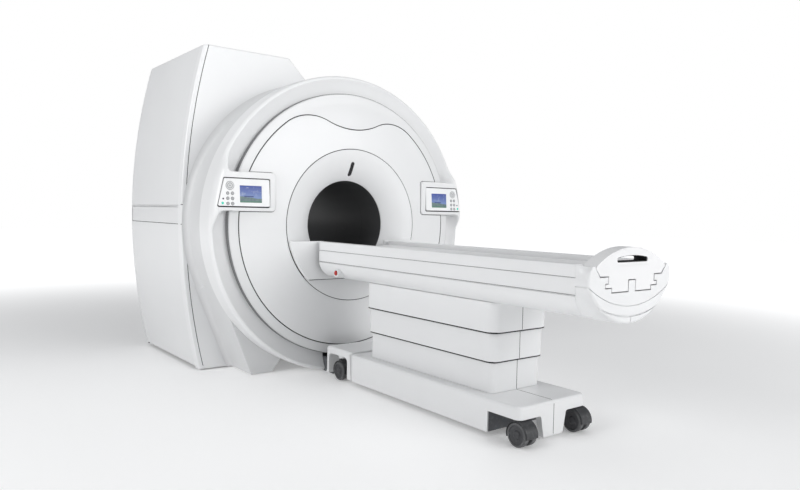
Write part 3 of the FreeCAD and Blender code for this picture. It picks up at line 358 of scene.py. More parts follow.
class Graph:
    """A node tree of any kind."""

    def __init__(self, tree: bpy.types.NodeTree) -> None:
        """Takes the tree and empties it."""
        self.tree = tree
        self.tree.nodes.clear()

    def node(
        self,
        kind: str,
        settings: Settings | None = None,
        inputs: Inputs | None = None,
    ) -> bpy.types.Node:
        """Adds any node.

        Args:
            kind: The node's type.
            settings: Its own settings, set before its inputs.
            inputs: Values or wires by socket name or number.

        Returns:
            The node.
        """
        made = self.tree.nodes.new(kind)
        for key, value in (settings or {}).items():
            setattr(made, key, value)
        for key, value in (inputs or {}).items():
            if isinstance(value, Wire):
                self.tree.links.new(value.socket, made.inputs[key])
            else:
                made.inputs[key].default_value = value
        return made

    def add(
        self,
        kind: str,
        settings: Settings | None = None,
        inputs: Inputs | None = None,
        output: str | int = 0,
    ) -> Wire:
        """A node's output as a wire, with the arguments of node()."""
        made = self.node(kind, settings, inputs)
        return Wire(self, made.outputs[output])


class Board(Graph):
    """A material's node tree."""

    def __init__(self, name: str) -> None:
        """Starts an empty material of that name.

        Args:
            name: The material's name.
        """
        self.material = bpy.data.materials.new(name)
        self.material.use_nodes = True
        super().__init__(self.material.node_tree)

    def place(self) -> Wire:
        """The object's own coordinates."""
        return self.add("ShaderNodeTexCoord", output="Object")

    def split(self, vector: Wire) -> tuple[Wire, Wire, Wire]:
        """The three parts of a vector."""
        made = self.node("ShaderNodeSeparateXYZ", {}, {0: vector})
        return tuple(Wire(self, made.outputs[k]) for k in range(3))

    def noise(self, place: Wire, scale: float, detail: float = 2.0, rough: float = 0.5) -> Wire:
        """Smooth noise of about 'scale' lumps a metre."""
        inputs = {"Vector": place, "Scale": scale, "Detail": detail, "Roughness": rough}
        return self.add("ShaderNodeTexNoise", {}, inputs, "Fac")

    def mix(self, share: Wire | float, a: object, b: object) -> Wire:
        """A colour between a and b."""
        inputs = {"Factor": share, 6: a, 7: b}
        return self.add("ShaderNodeMix", {"data_type": "RGBA"}, inputs, 2)

    def bump(self, height: Wire, strength: float, distance: float) -> Wire:
        """A normal bent by a height in metres."""
        inputs = {"Height": height, "Strength": strength, "Distance": distance}
        return self.add("ShaderNodeBump", {}, inputs)

    def surface(self, inputs: Inputs) -> bpy.types.Material:
        """Ends the material in one Principled shader."""
        self.node("ShaderNodeOutputMaterial", {}, {0: self.add("ShaderNodeBsdfPrincipled", {}, inputs)})
        return self.material


def ease(share: float) -> float:
    """0 at 0 and below, 1 at 1 and above, and smooth between."""
    t = min(1.0, max(0.0, share))
    return t * t * (3 - 2 * t)


def paint(colour: Colour, shade: float = 1.0) -> tuple[float, float, float, float]:
    """The colour as a socket takes it, lighter or darker by the shade."""
    return (colour[0] * shade, colour[1] * shade, colour[2] * shade, 1.0)


# ------------------------------------------------------------------------------ finishes
@dataclass(frozen=True)
class Finish:
    """What every finish has: its own name and the record's material slot."""

    name: str
    slot: str

    def make(self) -> bpy.types.Material:
        """The material."""
        board = Board(self.name)
        return board.surface(self.look(board, board.place()))

    def look(self, board: Board, place: Wire) -> Inputs:
        """What goes into the Principled shader.

        Args:
            board: The material's node tree.
            place: The object's own coordinates.

        Returns:
            The inputs by name.
        """
        raise NotImplementedError

    def tones(self, board: Board, share: Wire, low: float, high: float) -> Wire:
        """The finish's colour between a darker and a lighter shade of itself."""
        return board.mix(share, paint(self.colour, low), paint(self.colour, high))


@dataclass(frozen=True)
class Lacquer(Finish):
    """Sprayed and polished enamel on a moulding: faint clouds in its tone and a fine orange peel."""

    colour: Colour = (0.80, 0.805, 0.81)
    rough: float = 0.38
    coat: float = 0.10
    clouds: float = 0.035
    peel: float = 0.05

    def look(self, board: Board, place: Wire) -> Inputs:
        """The enamel's inputs.

        Args:
            board: The material's node tree.
            place: The object's own coordinates.

        Returns:
            The inputs by name.
        """
        fine = board.noise(place, 60.0, 2.0)
        grain = board.noise(place, 900.0, 1.0)
        dust = board.noise(place, 14.0, 4.0, 0.65).ramp(0.45, 0.75)
        tone = board.noise(place, 2.2, 3.0) * 0.8 + fine * 0.2
        return {
            "Base Color": self.tones(board, tone, 1 - self.clouds, 1 + self.clouds),
            "Roughness": self.rough - 0.03 + dust * 0.05 + grain * 0.02,
            "Coat Weight": self.coat,
            "Coat Roughness": 0.08,
            "IOR": 1.48,
            "Normal": board.bump(fine * 0.85 + grain * 0.15, self.peel, 0.0005),
        }


@dataclass(frozen=True)
class Moulded(Finish):
    """Unpainted moulded plastic or rubber with a spark-eroded grain."""

    colour: Colour
    rough: float = 0.5
    grain: float = 0.35
    scuff: float = 0.0

    def look(self, board: Board, place: Wire) -> Inputs:
        """The plastic's inputs.

        Args:
            board: The material's node tree.
            place: The object's own coordinates.

        Returns:
            The inputs by name.
        """
        grain = board.noise(place, 700.0, 3.0, 0.6)
        wear = board.noise(place, 45.0, 4.0, 0.7).ramp(0.5, 0.8) * self.scuff
        base = self.tones(board, board.noise(place, 9.0, 3.0), 0.92, 1.08)
        return {
            "Base Color": board.mix(wear, base, paint((0.5, 0.5, 0.5))),
            "Roughness": self.rough - 0.06 + grain * 0.1 + wear * 0.2,
            "Normal": board.bump(grain, self.grain, 0.0004),
        }


@dataclass(frozen=True)
class Metal(Finish):
    """Machined or brushed steel."""

    colour: Colour = (0.55, 0.55, 0.56)
    rough: float = 0.35

    def look(self, board: Board, place: Wire) -> Inputs:
        """The steel's inputs.

        Args:
            board: The material's node tree.
            place: The object's own coordinates.

        Returns:
            The inputs by name.
        """
        stretched = board.add("ShaderNodeMapping", {}, {"Vector": place, "Scale": (4.0, 260.0, 260.0)})
        brushed = board.noise(stretched, 3.0, 3.0, 0.7)
        return {
            "Base Color": self.tones(board, board.noise(place, 6.0, 3.0), 0.88, 1.06),
            "Metallic": 1.0,
            "Roughness": self.rough - 0.08 + brushed * 0.16,
            "Normal": board.bump(brushed, 0.12, 0.0003),
        }


@dataclass(frozen=True)
class TubeLining(Finish):
    """The patient tube's dark grey lining with its long seams."""

    colour: Colour = (0.055, 0.056, 0.058)
    seam_pitch: float = 0.34

    def look(self, board: Board, place: Wire) -> Inputs:
        """The lining's inputs.

        Args:
            board: The material's node tree.
            place: The object's own coordinates.

        Returns:
            The inputs by name.
        """
        along = board.split(place)[1]
        seams = ((along * (math.pi / self.seam_pitch)).wave().size() < 0.012) * 0.6
        grain = board.noise(place, 420.0, 3.0, 0.6)
        base = self.tones(board, board.noise(place, 3.0, 3.0), 0.9, 1.15)
        return {
            "Base Color": board.mix(seams, base, paint(self.colour, 0.3)),
            "Roughness": 0.42 + grain * 0.1,
            "Normal": board.bump(grain, 0.2, 0.0004),
        }


@dataclass(frozen=True)
class Display(Finish):
    """A lit display with a plain sky-to-ground field and two bars, of no one's design."""

    middle: Spot
    wide: float
    high: float

    def look(self, board: Board, place: Wire) -> Inputs:
        """The picture, painted in steps from the sky down to the lower bar.

        Args:
            board: The material's node tree.
            place: The object's own coordinates.

        Returns:
            The inputs by name.
        """
        x, _, z = board.split(place)
        across = (x - self.middle[0]) * (1 / self.wide) + 0.5
        up = (z - self.middle[2]) * (1 / self.high) + 0.5
        sky = board.mix(up.ramp(0.1, 0.95), paint((0.15, 0.22, 0.42)), paint((0.05, 0.08, 0.28)))
        cloud = board.noise(place, 34.0, 4.0, 0.6).ramp(0.50, 0.72) * up.ramp(0.2, 0.6) * 0.55
        grass = board.noise(place, 60.0, 3.0)
        hill = up + across * 0.12 - board.noise(place, 18.0, 2.0) * 0.12
        layers = (
            (cloud, paint((0.36, 0.40, 0.48))),
            (hill < 0.30, board.mix(grass, paint((0.05, 0.08, 0.12)), paint((0.15, 0.23, 0.19)))),
            (((up - 0.36).size() < 0.03) * (across > 0.2) * (across < 0.62), paint((0.03, 0.05, 0.16))),
            (up < 0.10, paint((0.07, 0.16, 0.12))),
            (up > 0.90, paint((0.03, 0.06, 0.26))),
        )
        tiles = sky
        for share, colour in layers:
            tiles = board.mix(share, tiles, colour)
        lines = (up * 180.0).wave() * 0.02 + 1.0
        return {
            "Base Color": tiles,
            "Roughness": 0.45 + lines * 0.01,
            "Emission Color": tiles,
            "Emission Strength": 0.25,
            "Coat Weight": 0.04,
        }


@dataclass(frozen=True)
class Lamp(Finish):
    """A small lit indicator under a clear cap."""

    colour: Colour
    strength: float = 0.6

    def look(self, board: Board, place: Wire) -> Inputs:
        """The lamp's inputs.

        Args:
            board: The material's node tree.
            place: The object's own coordinates.

        Returns:
            The inputs by name.
        """
        colour = self.tones(board, board.noise(place, 300.0, 2.0), 0.85, 1.1)
        lit = {"Emission Color": colour, "Emission Strength": self.strength}
        return {"Base Color": colour, "Roughness": 0.2} | lit


class Finishes:
    """Every finish of the scanner, each made once."""

    def __init__(self) -> None:
        """Lists the finishes by the word that the pieces use."""
        self.kinds = {
            "cover": Lacquer("cover_enamel", "cover_white"),
            "band": Lacquer("band_enamel", "band_white", (0.76, 0.765, 0.77), 0.40),
            "ring": Lacquer("ring_enamel", "band_white"),
            "side": Lacquer("side_enamel", "side_white", (0.77, 0.775, 0.78), 0.42),
            "table": Lacquer("table_enamel", "table_white", (0.79, 0.795, 0.80)),
            "cradle": Lacquer("cradle_gelcoat", "cradle_white", (0.82, 0.82, 0.825)),
            "tier": Lacquer("column_enamel", "tier_white", (0.78, 0.785, 0.79), 0.42),
            # The neck's enamel is darker than the sides' enamel: painted shade for the neck's hollow flare.
            "neck": Lacquer("neck_enamel", "side_white", (0.68, 0.685, 0.69), 0.42),
            # A dark grey strip that is painted shade: deep in the ring's channel and at the bottom of the
            # hull's grooves.
            "trim": Moulded("channel_trim", "window_black", (0.20, 0.203, 0.208), 0.6),
            # Near black: the gaskets in the seams, and the strips of painted shadow under ledges, round the
            # panels' plates and in the grip.
            "seam": Moulded("seam_gasket", "window_black", (0.022, 0.022, 0.023), 0.7),
            "bore": TubeLining("tube_lining", "bore_grey"),
            "window": Moulded("tinted_window", "window_black", (0.010, 0.010, 0.012), 0.12, 0.02),
            "panel": Moulded("keypad_plate", "panel_grey", (0.87, 0.875, 0.88), 0.42, 0.15),
            "key": Moulded("key_cap", "key_white", (0.42, 0.43, 0.44), 0.45, 0.2),
            "key_light": Moulded("key_ridge", "key_white", (0.76, 0.765, 0.77), 0.45, 0.2),
            "key_rim": Moulded("key_rim", "key_white", (0.16, 0.165, 0.17), 0.5, 0.2),
            "stop": Moulded("stop_cap", "stop_red", (0.42, 0.018, 0.012), 0.25, 0.05),
            "vessel": Metal("vessel_steel", "vessel_steel"),
            "turret": Metal("turret_steel", "vessel_steel", (0.5, 0.5, 0.5), 0.3),
            "coil": Moulded("coil_resin", "coil_resin", (0.52, 0.46, 0.30), 0.55),
            "stand": Moulded("stand_paint", "stand_steel", (0.10, 0.105, 0.115), 0.45, 0.3, 0.2),
            "lift": Metal("lift_steel", "lift_steel", (0.62, 0.62, 0.63), 0.18),
            "hood": Moulded("caster_hood", "caster_grey", (0.035, 0.036, 0.039), 0.42, 0.4, 0.12),
            "wheel": Moulded("caster_disc", "caster_grey", (0.045, 0.046, 0.05), 0.48, 0.4, 0.15),
            "tread": Moulded("caster_tread", "caster_black", (0.085, 0.087, 0.09), 0.62, 0.5, 0.35),
            "lamp": Lamp("green_lamp", "key_white", (0.02, 0.42, 0.30)),
            "lamp_dark": Lamp("dark_lamp", "key_white", (0.05, 0.03, 0.06), 0.0),
        }
        self.made: dict[str, bpy.types.Material] = {}

    def material(self, word: str) -> bpy.types.Material:
        """The material for a finish's word.

        Args:
            word: The finish's word.

        Returns:
            The material, made once.
        """
        if word not in self.made:
            self.made[word] = self.kinds[word].make()
        return self.made[word]

    def slot(self, word: str) -> str:
        """The record's material slot for a finish's word."""
        return self.kinds[word].slot


# ------------------------------------------------------------------------------ mesh making
class Workshop:
    """Makes meshes in millimetres and hands them over as finished pieces."""

    SHARP = math.radians(34)

    def __init__(self, finishes: Finishes) -> None:
        """Keeps the finishes that the pieces are dressed in."""
        self.finishes = finishes
        self.count = 0

    # -- shapes
    @staticmethod
    def skin(
        mesh: Mesh, rows: Sequence[Sequence[Vector]], closed: bool = False, marks: Sequence[int] = (0,)
    ) -> list:
        """Joins rows of points, each a closed line, with faces.

        Args:
            mesh: The mesh to add to.
            rows: Rows of equally many points.
            closed: Whether the last row joins the first.
            marks: The material number of the faces, or one for each run of a row.

        Returns:
            The rows of vertices.
        """
        lines = [[mesh.verts.new(p) for p in row] for row in rows]
        width = len(lines[0])
        for a, b in list(zip(lines, lines[1:])) + ([(lines[-1], lines[0])] if closed else []):
            for k in range(width):
                j = (k + 1) % width
                face = mesh.faces.new((a[k], a[j], b[j], b[k]))
                face.material_index = marks[k % len(marks)]
        return lines

    def hoop(self, rows: list[list[Vector]], mesh: Mesh | None = None) -> Mesh:
        """A mesh, or more of one, whose rows of points go all the way round.

        Args:
            rows: The rows of points in metres.
            mesh: The mesh to add to, or None for a new one.

        Returns:
            The mesh.
        """
        mesh = mesh or bmesh.new()
        self.skin(mesh, rows + rows[:1])
        return mesh

    @staticmethod
    def lid(mesh: Mesh, loops: Sequence[Sequence[bmesh.types.BMVert]], flat: Sequence[Path]) -> None:
        """Closes an outline, with holes if there are more loops.

        Args:
            mesh: The mesh to add to.
            loops: The vertices of the outline and of its holes.
            flat: The same loops as flat points.
        """
        verts = [v for loop in loops for v in loop]
        spots = [[Vector((x, z, 0)) for x, z in path] for path in flat]
        for corners in tessellate_polygon(spots):
            trio = [verts[i] for i in corners]
            if len(set(trio)) == 3:
                try:
                    mesh.faces.new(trio)
                except ValueError:
                    continue

    def stack(
        self,
        levels: Sequence[tuple[float, Path]],
        axis: Axis = Axis.BORE,
        holes: Sequence[Path] = (),
        mesh: Mesh | None = None,
    ) -> Mesh:
        """A closed body through outlines with equally many points.

        Args:
            levels: The place along the axis and the outline there, in order.
            axis: The axis.
            holes: Outlines that go right through.
            mesh: A mesh to add to.

        Returns:
            The mesh.
        """
        mesh = mesh or bmesh.new()
        runs = [run for run, _ in levels]
        tracks = [[path for _, path in levels]] + [[list(hole)] * 2 for hole in holes]
        ends: list[list] = [[], []]
        flats: list[list[Path]] = [[], []]
        for number, track in enumerate(tracks):
            places = runs if number == 0 else [runs[0], runs[-1]]
            rows = [[axis.place(a, b, run) for a, b in path] for run, path in zip(places, track)]
            lines = self.skin(mesh, rows)
            for end in (0, -1):
                ends[end].append(lines[end])
                flats[end].append(track[end])
        for end in (0, -1):
            self.lid(mesh, ends[end], flats[end])
        return mesh

    def prism(
        self,
        outer: Path,
        low: float,
        high: float,
        axis: Axis = Axis.BORE,
        holes: Sequence[Path] = (),
        soft: tuple[float, float] = (0.0, 0.0),
        weights: Sequence[float] | None = None,
        mesh: Mesh | None = None,
    ) -> Mesh:
        """An outline drawn along an axis, with rounded rims.

        Args:
            outer: The closed outline.
            low: Where it starts along the axis.
            high: Where it ends.
            axis: The axis.
            holes: Outlines that go right through.
            soft: The rounding of the rim at the start and at the end.
            weights: The share of the rounding that each outer point takes.
            mesh: A mesh to add to.

        Returns:
            The mesh.
        """
        path = list(outer)
        shares = list(weights) if weights else None
        if Flat.area(path) < 0:
            path.reverse()
            if shares:
                shares.reverse()
        levels = [
            (run, Flat.offset(path, inset, shares) if inset else path)
            for run, inset in self.rims(low, high, *soft)
        ]
        return self.stack(levels, axis, holes, mesh)

    def slab(
        self, x: Point, y: Point, z: Point, axis: Axis = Axis.Y, mesh: Mesh | None = None
    ) -> Mesh:
        """A plain block.

        Args:
            x: Its two ends along X.
            y: Its two ends along Y.
            z: Its two ends along Z, over the bore's axis if the axis is BORE.
            axis: Which of its faces are the ends.
            mesh: A mesh to add to.

        Returns:
            The mesh.
        """
        first, second, run = (x, y, z) if axis is Axis.Z else (x, z, y)
        return self.prism(Flat.box(*first, *second), *run, axis, mesh=mesh)

    @staticmethod
    def rims(low: float, high: float, soft_low: float, soft_high: float, steps: int = 5) -> list[Point]:
        """The places along a prism with rounded rims, and the inset at each.

        Args:
            low: The first end.
            high: The second end.
            soft_low: The first rim's radius.
            soft_high: The second rim's radius.
            steps: The steps in a rim.

        Returns:
            The places and their insets.
        """
        turns = quarter(steps)
        start = [(low + soft_low * (1 - math.sin(t)), soft_low * (1 - math.cos(t))) for t in reversed(turns)]
        end = [(high - soft_high * (1 - math.sin(t)), soft_high * (1 - math.cos(t))) for t in turns]
        return (start if soft_low else [(low, 0.0)]) + (end if soft_high else [(high, 0.0)])

    def turned(
        self,
        profile: Path,
        segments: int = 240,
        axis: Axis = Axis.Y,
        centre: Spot = (0.0, 0.0, AXIS),
        marks: Sequence[int] = (0,),
        mesh: Mesh | None = None,
    ) -> Mesh:
        """A closed profile turned round an axis.

        Args:
            profile: The points (radius, place along the axis).
            segments: The number of steps in the turn.
            axis: The axis, X or Y or Z.
            centre: A point on the axis.
            marks: A material number for each run of the profile.
            mesh: A mesh to add to.

        Returns:
            The mesh.
        """
        mesh = mesh or bmesh.new()
        rows = []
        for k in range(segments):
            turn = math.tau * k / segments
            c, s = math.cos(turn), math.sin(turn)
            spots = (axis.order(radius * c, radius * s, run) for radius, run in profile)
            rows.append([Vector([a + b for a, b in zip(spot, centre)]) * MM for spot in spots])
        self.skin(mesh, rows, True, marks)
        return mesh

    # -- finishing
    def finish(
        self,
        mesh: Mesh,
        name: str,
        body: str,
        finish: str | Sequence[str],
        nodes: Sequence[str] = (),
        weighted: bool = True,
        cut: Sequence[Mesh] = (),
        work: Sequence[tuple[str, Mesh]] = (),
    ) -> None:
        """Turns a mesh into a dressed piece that rides on its body.

        Args:
            mesh: The mesh.
            name: The piece's name.
            body: The CAD body that it rides on.
            finish: One finish's word, or several for the material numbers.
            nodes: The CAD nodes that it replaces.
            weighted: Whether large faces keep their normals flat.
            cut: Meshes whose room is taken out of the piece.
            work: More boolean operations, each with its mesh, in their order.
        """
        piece = self.plain(mesh, name)
        for operation, tool in [("DIFFERENCE", tool) for tool in cut] + list(work):
            self.combine(piece, self.plain(tool, f"{name}_tool"), operation)
        self.sharpen(piece)
        words = [finish] if isinstance(finish, str) else list(finish)
        if piece.data.materials:
            piece.data.materials.clear()
        for word in words:
            piece.data.materials.append(self.finishes.material(word))
        if weighted:
            modifier = piece.modifiers.new("Weighted", "WEIGHTED_NORMAL")
            modifier.keep_sharp = True
            modifier.weight = 70
        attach(piece, body)
        self.finishes.slot(words[0])
        if nodes:
            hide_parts(*nodes)
        self.count += 1
        log.info("%s: %d faces on %s", name, len(piece.data.polygons), body)

    def seal(
        self, mesh: Mesh, name: str, body: str = GANTRY, finish: str = "seam", cut: Sequence[Mesh] = ()
    ) -> None:
        """A thin dark piece that stands for no CAD node, such as a gasket in a seam or a strip of painted
        shade.

        Args:
            mesh: The mesh.
            name: The piece's name.
            body: The CAD body that it rides on.
            finish: The finish's word.
            cut: Meshes whose room is taken out of it.
        """
        self.finish(mesh, name, body, finish, weighted=False, cut=cut)

    @staticmethod
    def plain(mesh: Mesh, name: str) -> Piece:
        """An object of the mesh, closed and facing outwards.

        Args:
            mesh: The mesh, which is used up.
            name: The object's name.

        Returns:
            The object.
        """
        bmesh.ops.remove_doubles(mesh, verts=mesh.verts, dist=MERGE * MM)
        bmesh.ops.dissolve_degenerate(mesh, edges=mesh.edges, dist=1e-6)
        bmesh.ops.recalc_face_normals(mesh, faces=mesh.faces)
        data = bpy.data.meshes.new(name)
        mesh.to_mesh(data)
        mesh.free()
        made = bpy.data.objects.new(name, data)
        bpy.context.scene.collection.objects.link(made)
        return made

    @staticmethod
    def combine(piece: Piece, tool: Piece, operation: str) -> None:
        """Applies a boolean operation and removes the tool.

        Args:
            piece: The object that is changed.
            tool: The object that it is combined with.
            operation: The modifier's word for it.
        """
        modifier = piece.modifiers.new("Combine", "BOOLEAN")
        modifier.operation = operation
        modifier.solver = "EXACT"
        modifier.object = tool
        view = bpy.context.evaluated_depsgraph_get()
        fresh = bpy.data.meshes.new_from_object(piece.evaluated_get(view))
        piece.modifiers.remove(modifier)
        old = piece.data
        fresh.name = old.name
        piece.data = fresh
        bpy.data.meshes.remove(old)
        spare = tool.data
        bpy.data.objects.remove(tool)
        bpy.data.meshes.remove(spare)

    @classmethod
    def sharpen(cls, piece: Piece) -> None:
        """Shades the piece smooth, apart from its sharp edges.

        Args:
            piece: The object.
        """
        mesh = bmesh.new()
        mesh.from_mesh(piece.data)
        for face in mesh.faces:
            face.smooth = True
        for edge in mesh.edges:
            if len(edge.link_faces) == 2:
                edge.smooth = edge.calc_face_angle(0.0) < cls.SHARP
        mesh.to_mesh(piece.data)
        mesh.free()

    def keep_cad(self, frame: dict, words: dict[str, str]) -> None:
        """Dresses CAD nodes that stay as they are.

        Args:
            words: The finish's word for each node.
        """
        for node, word in words.items():
            data = frame["nodes"][node].data
            data.materials.clear()
            data.materials.append(self.finishes.material(word))
            log.info("%s keeps its CAD shape in %s", node, word)


# ------------------------------------------------------------------------------ geometry nodes
class Recipe(Graph):
    """A geometry node tree with named inputs that grows one mesh."""

    def __init__(self, name: str, inputs: Sequence[str]) -> None:
        """Starts the tree.

        Args:
            name: The tree's name.
            inputs: The names of its inputs, all plain numbers.
        """
        super().__init__(bpy.data.node_groups.new(name, "GeometryNodeTree"))
        sockets = self.tree.interface.new_socket
        plain = {"in_out": "INPUT", "socket_type": "NodeSocketFloat"}
        self.keys = {word: sockets(word, **plain).identifier for word in inputs}
        sockets("Geometry", in_out="OUTPUT", socket_type="NodeSocketGeometry")
        given = self.node("NodeGroupInput")
        self.given = {word: Wire(self, given.outputs[word]) for word in inputs}

    def close(self, grown: Wire, material: bpy.types.Material) -> None:
        """Ends the tree in realized, dressed geometry.

        Args:
            grown: The geometry.
            material: Its material.
        """
        real = self.add("GeometryNodeRealizeInstances", {}, {"Geometry": grown})
        dressed = self.add("GeometryNodeSetMaterial", {}, {"Geometry": real, "Material": material})
        self.node("NodeGroupOutput", {}, {"Geometry": dressed})

    def grow(self, values: dict[str, float]) -> Mesh:
        """Grows the mesh for a set of values.

        Args:
            values: The inputs in millimetres, by name.

        Returns:
            The mesh.
        """
        seed = bpy.data.objects.new("seed", bpy.data.meshes.new("seed"))
        bpy.context.scene.collection.objects.link(seed)
        modifier = seed.modifiers.new("Recipe", "NODES")
        modifier.node_group = self.tree
        for word, key in self.keys.items():
            modifier[key] = values[word] * MM
        seed.update_tag()
        view = bpy.context.evaluated_depsgraph_get()
        grown = bpy.data.meshes.new_from_object(seed.evaluated_get(view), depsgraph=view)
        mesh = bmesh.new()
        mesh.from_mesh(grown)
        for item, kind in ((seed, bpy.data.objects), (grown, bpy.data.meshes)):
            kind.remove(item)
        return mesh

    def vector(self, x: Wire | float = 0.0, y: Wire | float = 0.0, z: Wire | float = 0.0) -> Wire:
        """A vector of three numbers."""
        return self.add("ShaderNodeCombineXYZ", {}, {"X": x, "Y": y, "Z": z})

    def moved(self, shape: Wire, offset: Wire) -> Wire:
        """The shape moved by a vector."""
        return self.add("GeometryNodeTransform", {}, {"Geometry": shape, "Translation": offset})


class ShellRecipe(Recipe):
    """An upright, thin, round-cornered shell from its plain sizes."""

    def __init__(self, material: bpy.types.Material) -> None:
        """Builds the tree: a rounded plan with the wall's own section swept along it.

        Args:
            material: The shell's material.
        """
        sizes = ("Width", "Length", "Corner", "Skin", "Low", "High", "Middle", "Rim")
        super().__init__("column_shell", sizes)
        given = self.given
        skin, tall = given["Skin"], given["High"] - given["Low"]
        plan = self.rounded(given["Width"] - skin, given["Length"] - skin, given["Corner"] - skin * 0.5, 14)
        section = self.rounded(skin, tall, given["Rim"], 4)
        swept = self.add("GeometryNodeCurveToMesh", {}, {"Curve": plan, "Profile Curve": section})
        place = self.vector(0.0, given["Middle"], given["Low"] + tall * 0.5)
        self.close(self.moved(swept, place), material)

    def rounded(self, width: Wire, height: Wire, radius: Wire, count: int) -> Wire:
        """A rectangle with rounded corners, as a curve.

        Args:
            width: The full width.
            height: The full height.
            radius: The corners' radius.
            count: The points in a corner.

        Returns:
            The curve.
        """
        sizes = {"Width": width, "Height": height}
        plain = self.add("GeometryNodeCurvePrimitiveQuadrilateral", {"mode": "RECTANGLE"}, sizes)
        inputs = {"Curve": plain, "Count": count, "Radius": radius, "Limit Radius": True}
        return self.add("GeometryNodeFilletCurve", {"mode": "POLY"}, inputs)


class KeyRimRecipe(Recipe):
    """The raised rims round the six keys, on their grid."""

    def __init__(self, material: bpy.types.Material) -> None:
        """Builds the tree: a grid of points with a small ring on each.

        Args:
            material: The rims' material.
        """
        super().__init__("key_rims", ("X", "Z", "Y", "Pitch X", "Pitch Z", "Key", "Rim"))
        given = self.given
        counts = {"Vertices X": 2, "Vertices Y": 3}
        sizes = {"Size X": given["Pitch X"], "Size Y": given["Pitch Z"] * 2}
        grid = self.add("GeometryNodeMeshGrid", {}, counts | sizes)
        rings = ((32, given["Key"] + given["Rim"]), (8, given["Rim"]))
        kind, mode = "GeometryNodeCurvePrimitiveCircle", {"mode": "RADIUS"}
        circle, section = (self.add(kind, mode, {"Resolution": n, "Radius": radius}) for n, radius in rings)
        rim = self.add("GeometryNodeCurveToMesh", {}, {"Curve": circle, "Profile Curve": section})
        spread = self.add("GeometryNodeInstanceOnPoints", {}, {"Points": grid, "Instance": rim})
        turn = {"Geometry": spread, "Rotation": (math.pi / 2, 0.0, 0.0)}
        upright = self.add("GeometryNodeTransform", {}, turn)
        self.close(self.moved(upright, self.vector(given["X"], given["Y"], given["Z"])), material)


# ------------------------------------------------------------------------------ the front face
@dataclass(frozen=True)
class BowedFace:
    """The front's shallow cone and the band round it, as one surface over the radius."""

    inner: float = 509.0
    outer: float = 816.0
    band_edge: float = 876.4
    bow: float = 2500.0
    bow_height: float = 2495.2
    bow_radius: float = 355.4
    drop: float = 38.0
    band_drop: float = 45.0
    skin: float = 6.0

    def depth(self, radius: float) -> float:
        """The surface's Y at a radius.

        Args:
            radius: The distance from the bore's axis.

        Returns:
            The Y in millimetres.
        """
        if radius > self.outer:
            share = (radius - self.outer) / (self.band_edge - self.outer)
            return self.drop + share * (self.band_drop - self.drop)
        return self.bow_height - math.sqrt(self.bow**2 - (radius - self.bow_radius) ** 2)

    def section(self, low: float, high: float, rim: float, count: int = 12) -> Path:
        """A closed section (radius, y) of the plate between two radii, with rounded rims.

        Args:
            low: The inner radius.
            high: The outer radius.
            rim: The rounding of the rims.
            count: The runs across the surface.

        Returns:
            The section's points.
        """
        turns = quarter(3)
        start = [
            (low + rim * (1 - math.cos(t)), self.depth(low) + rim * (1 - math.sin(t))) for t in turns
        ]
        middle = [low + rim + (high - low - rim * 2) * k / count for k in range(1, count)]
        surface = [(r, self.depth(r)) for r in middle]
        end = [
            (high - rim * (1 - math.cos(t)), self.depth(high) + rim * (1 - math.sin(t)))
            for t in reversed(turns)
        ]
        back = [(high, self.depth(high) + self.skin), (low, self.depth(low) + self.skin)]
        return start + surface + end + back


@dataclass(frozen=True)
class WavyEdge:
    """The S-shaped line that parts the front cover from the badge panel above it."""

    edge: float = 816.0
    end_x: float = 508.0
    turn: Point = (191.0, 681.0)
    peak_bow: float = 288.0
    valley_bow: float = 483.0

    def corners(self) -> list[Corner]:
        """The line's corners from its right end to its left one.

        Returns:
            The corners, each with its bow where it has one.
        """
        end_z = math.sqrt(self.edge**2 - self.end_x**2)
        x, z = self.turn
        return [
            (self.end_x, end_z, -self.peak_bow), (x, z, self.valley_bow), (-x, z, -self.peak_bow),
            (-self.end_x, end_z),
        ]

    def polar(self) -> Path:
        """The line as (angle, radius), by rising angle."""
        path = Flat.trace(self.corners(), 26, closed=False)
        return [(math.atan2(z, x), math.hypot(x, z)) for x, z in path]

    def reach(self, angle: float) -> float:
        """The radius of the cover's edge at an angle, all the way round.

        Args:
            angle: The angle from +X.

        Returns:
            The radius in millimetres.
        """
        points = self.polar()
        if not points[0][0] < angle < points[-1][0]:
            return self.edge
        for (t1, r1), (t2, r2) in zip(points, points[1:]):
            if t1 <= angle <= t2:
                return r1 + (r2 - r1) * (angle - t1) / (t2 - t1)
        return self.edge

    def angles(self, count: int = 260) -> list[float]:
        """The angles of a full turn, with the line's own points among them.

        Args:
            count: The steps in the full turn.

        Returns:
            The angles, rising.
        """
        own = [t for t, _ in self.polar()]
        even = [math.tau * k / count for k in range(count)]
        clear = [t for t in even if all(abs(t - o) > 0.008 for o in own)]
        return sorted(clear + own)


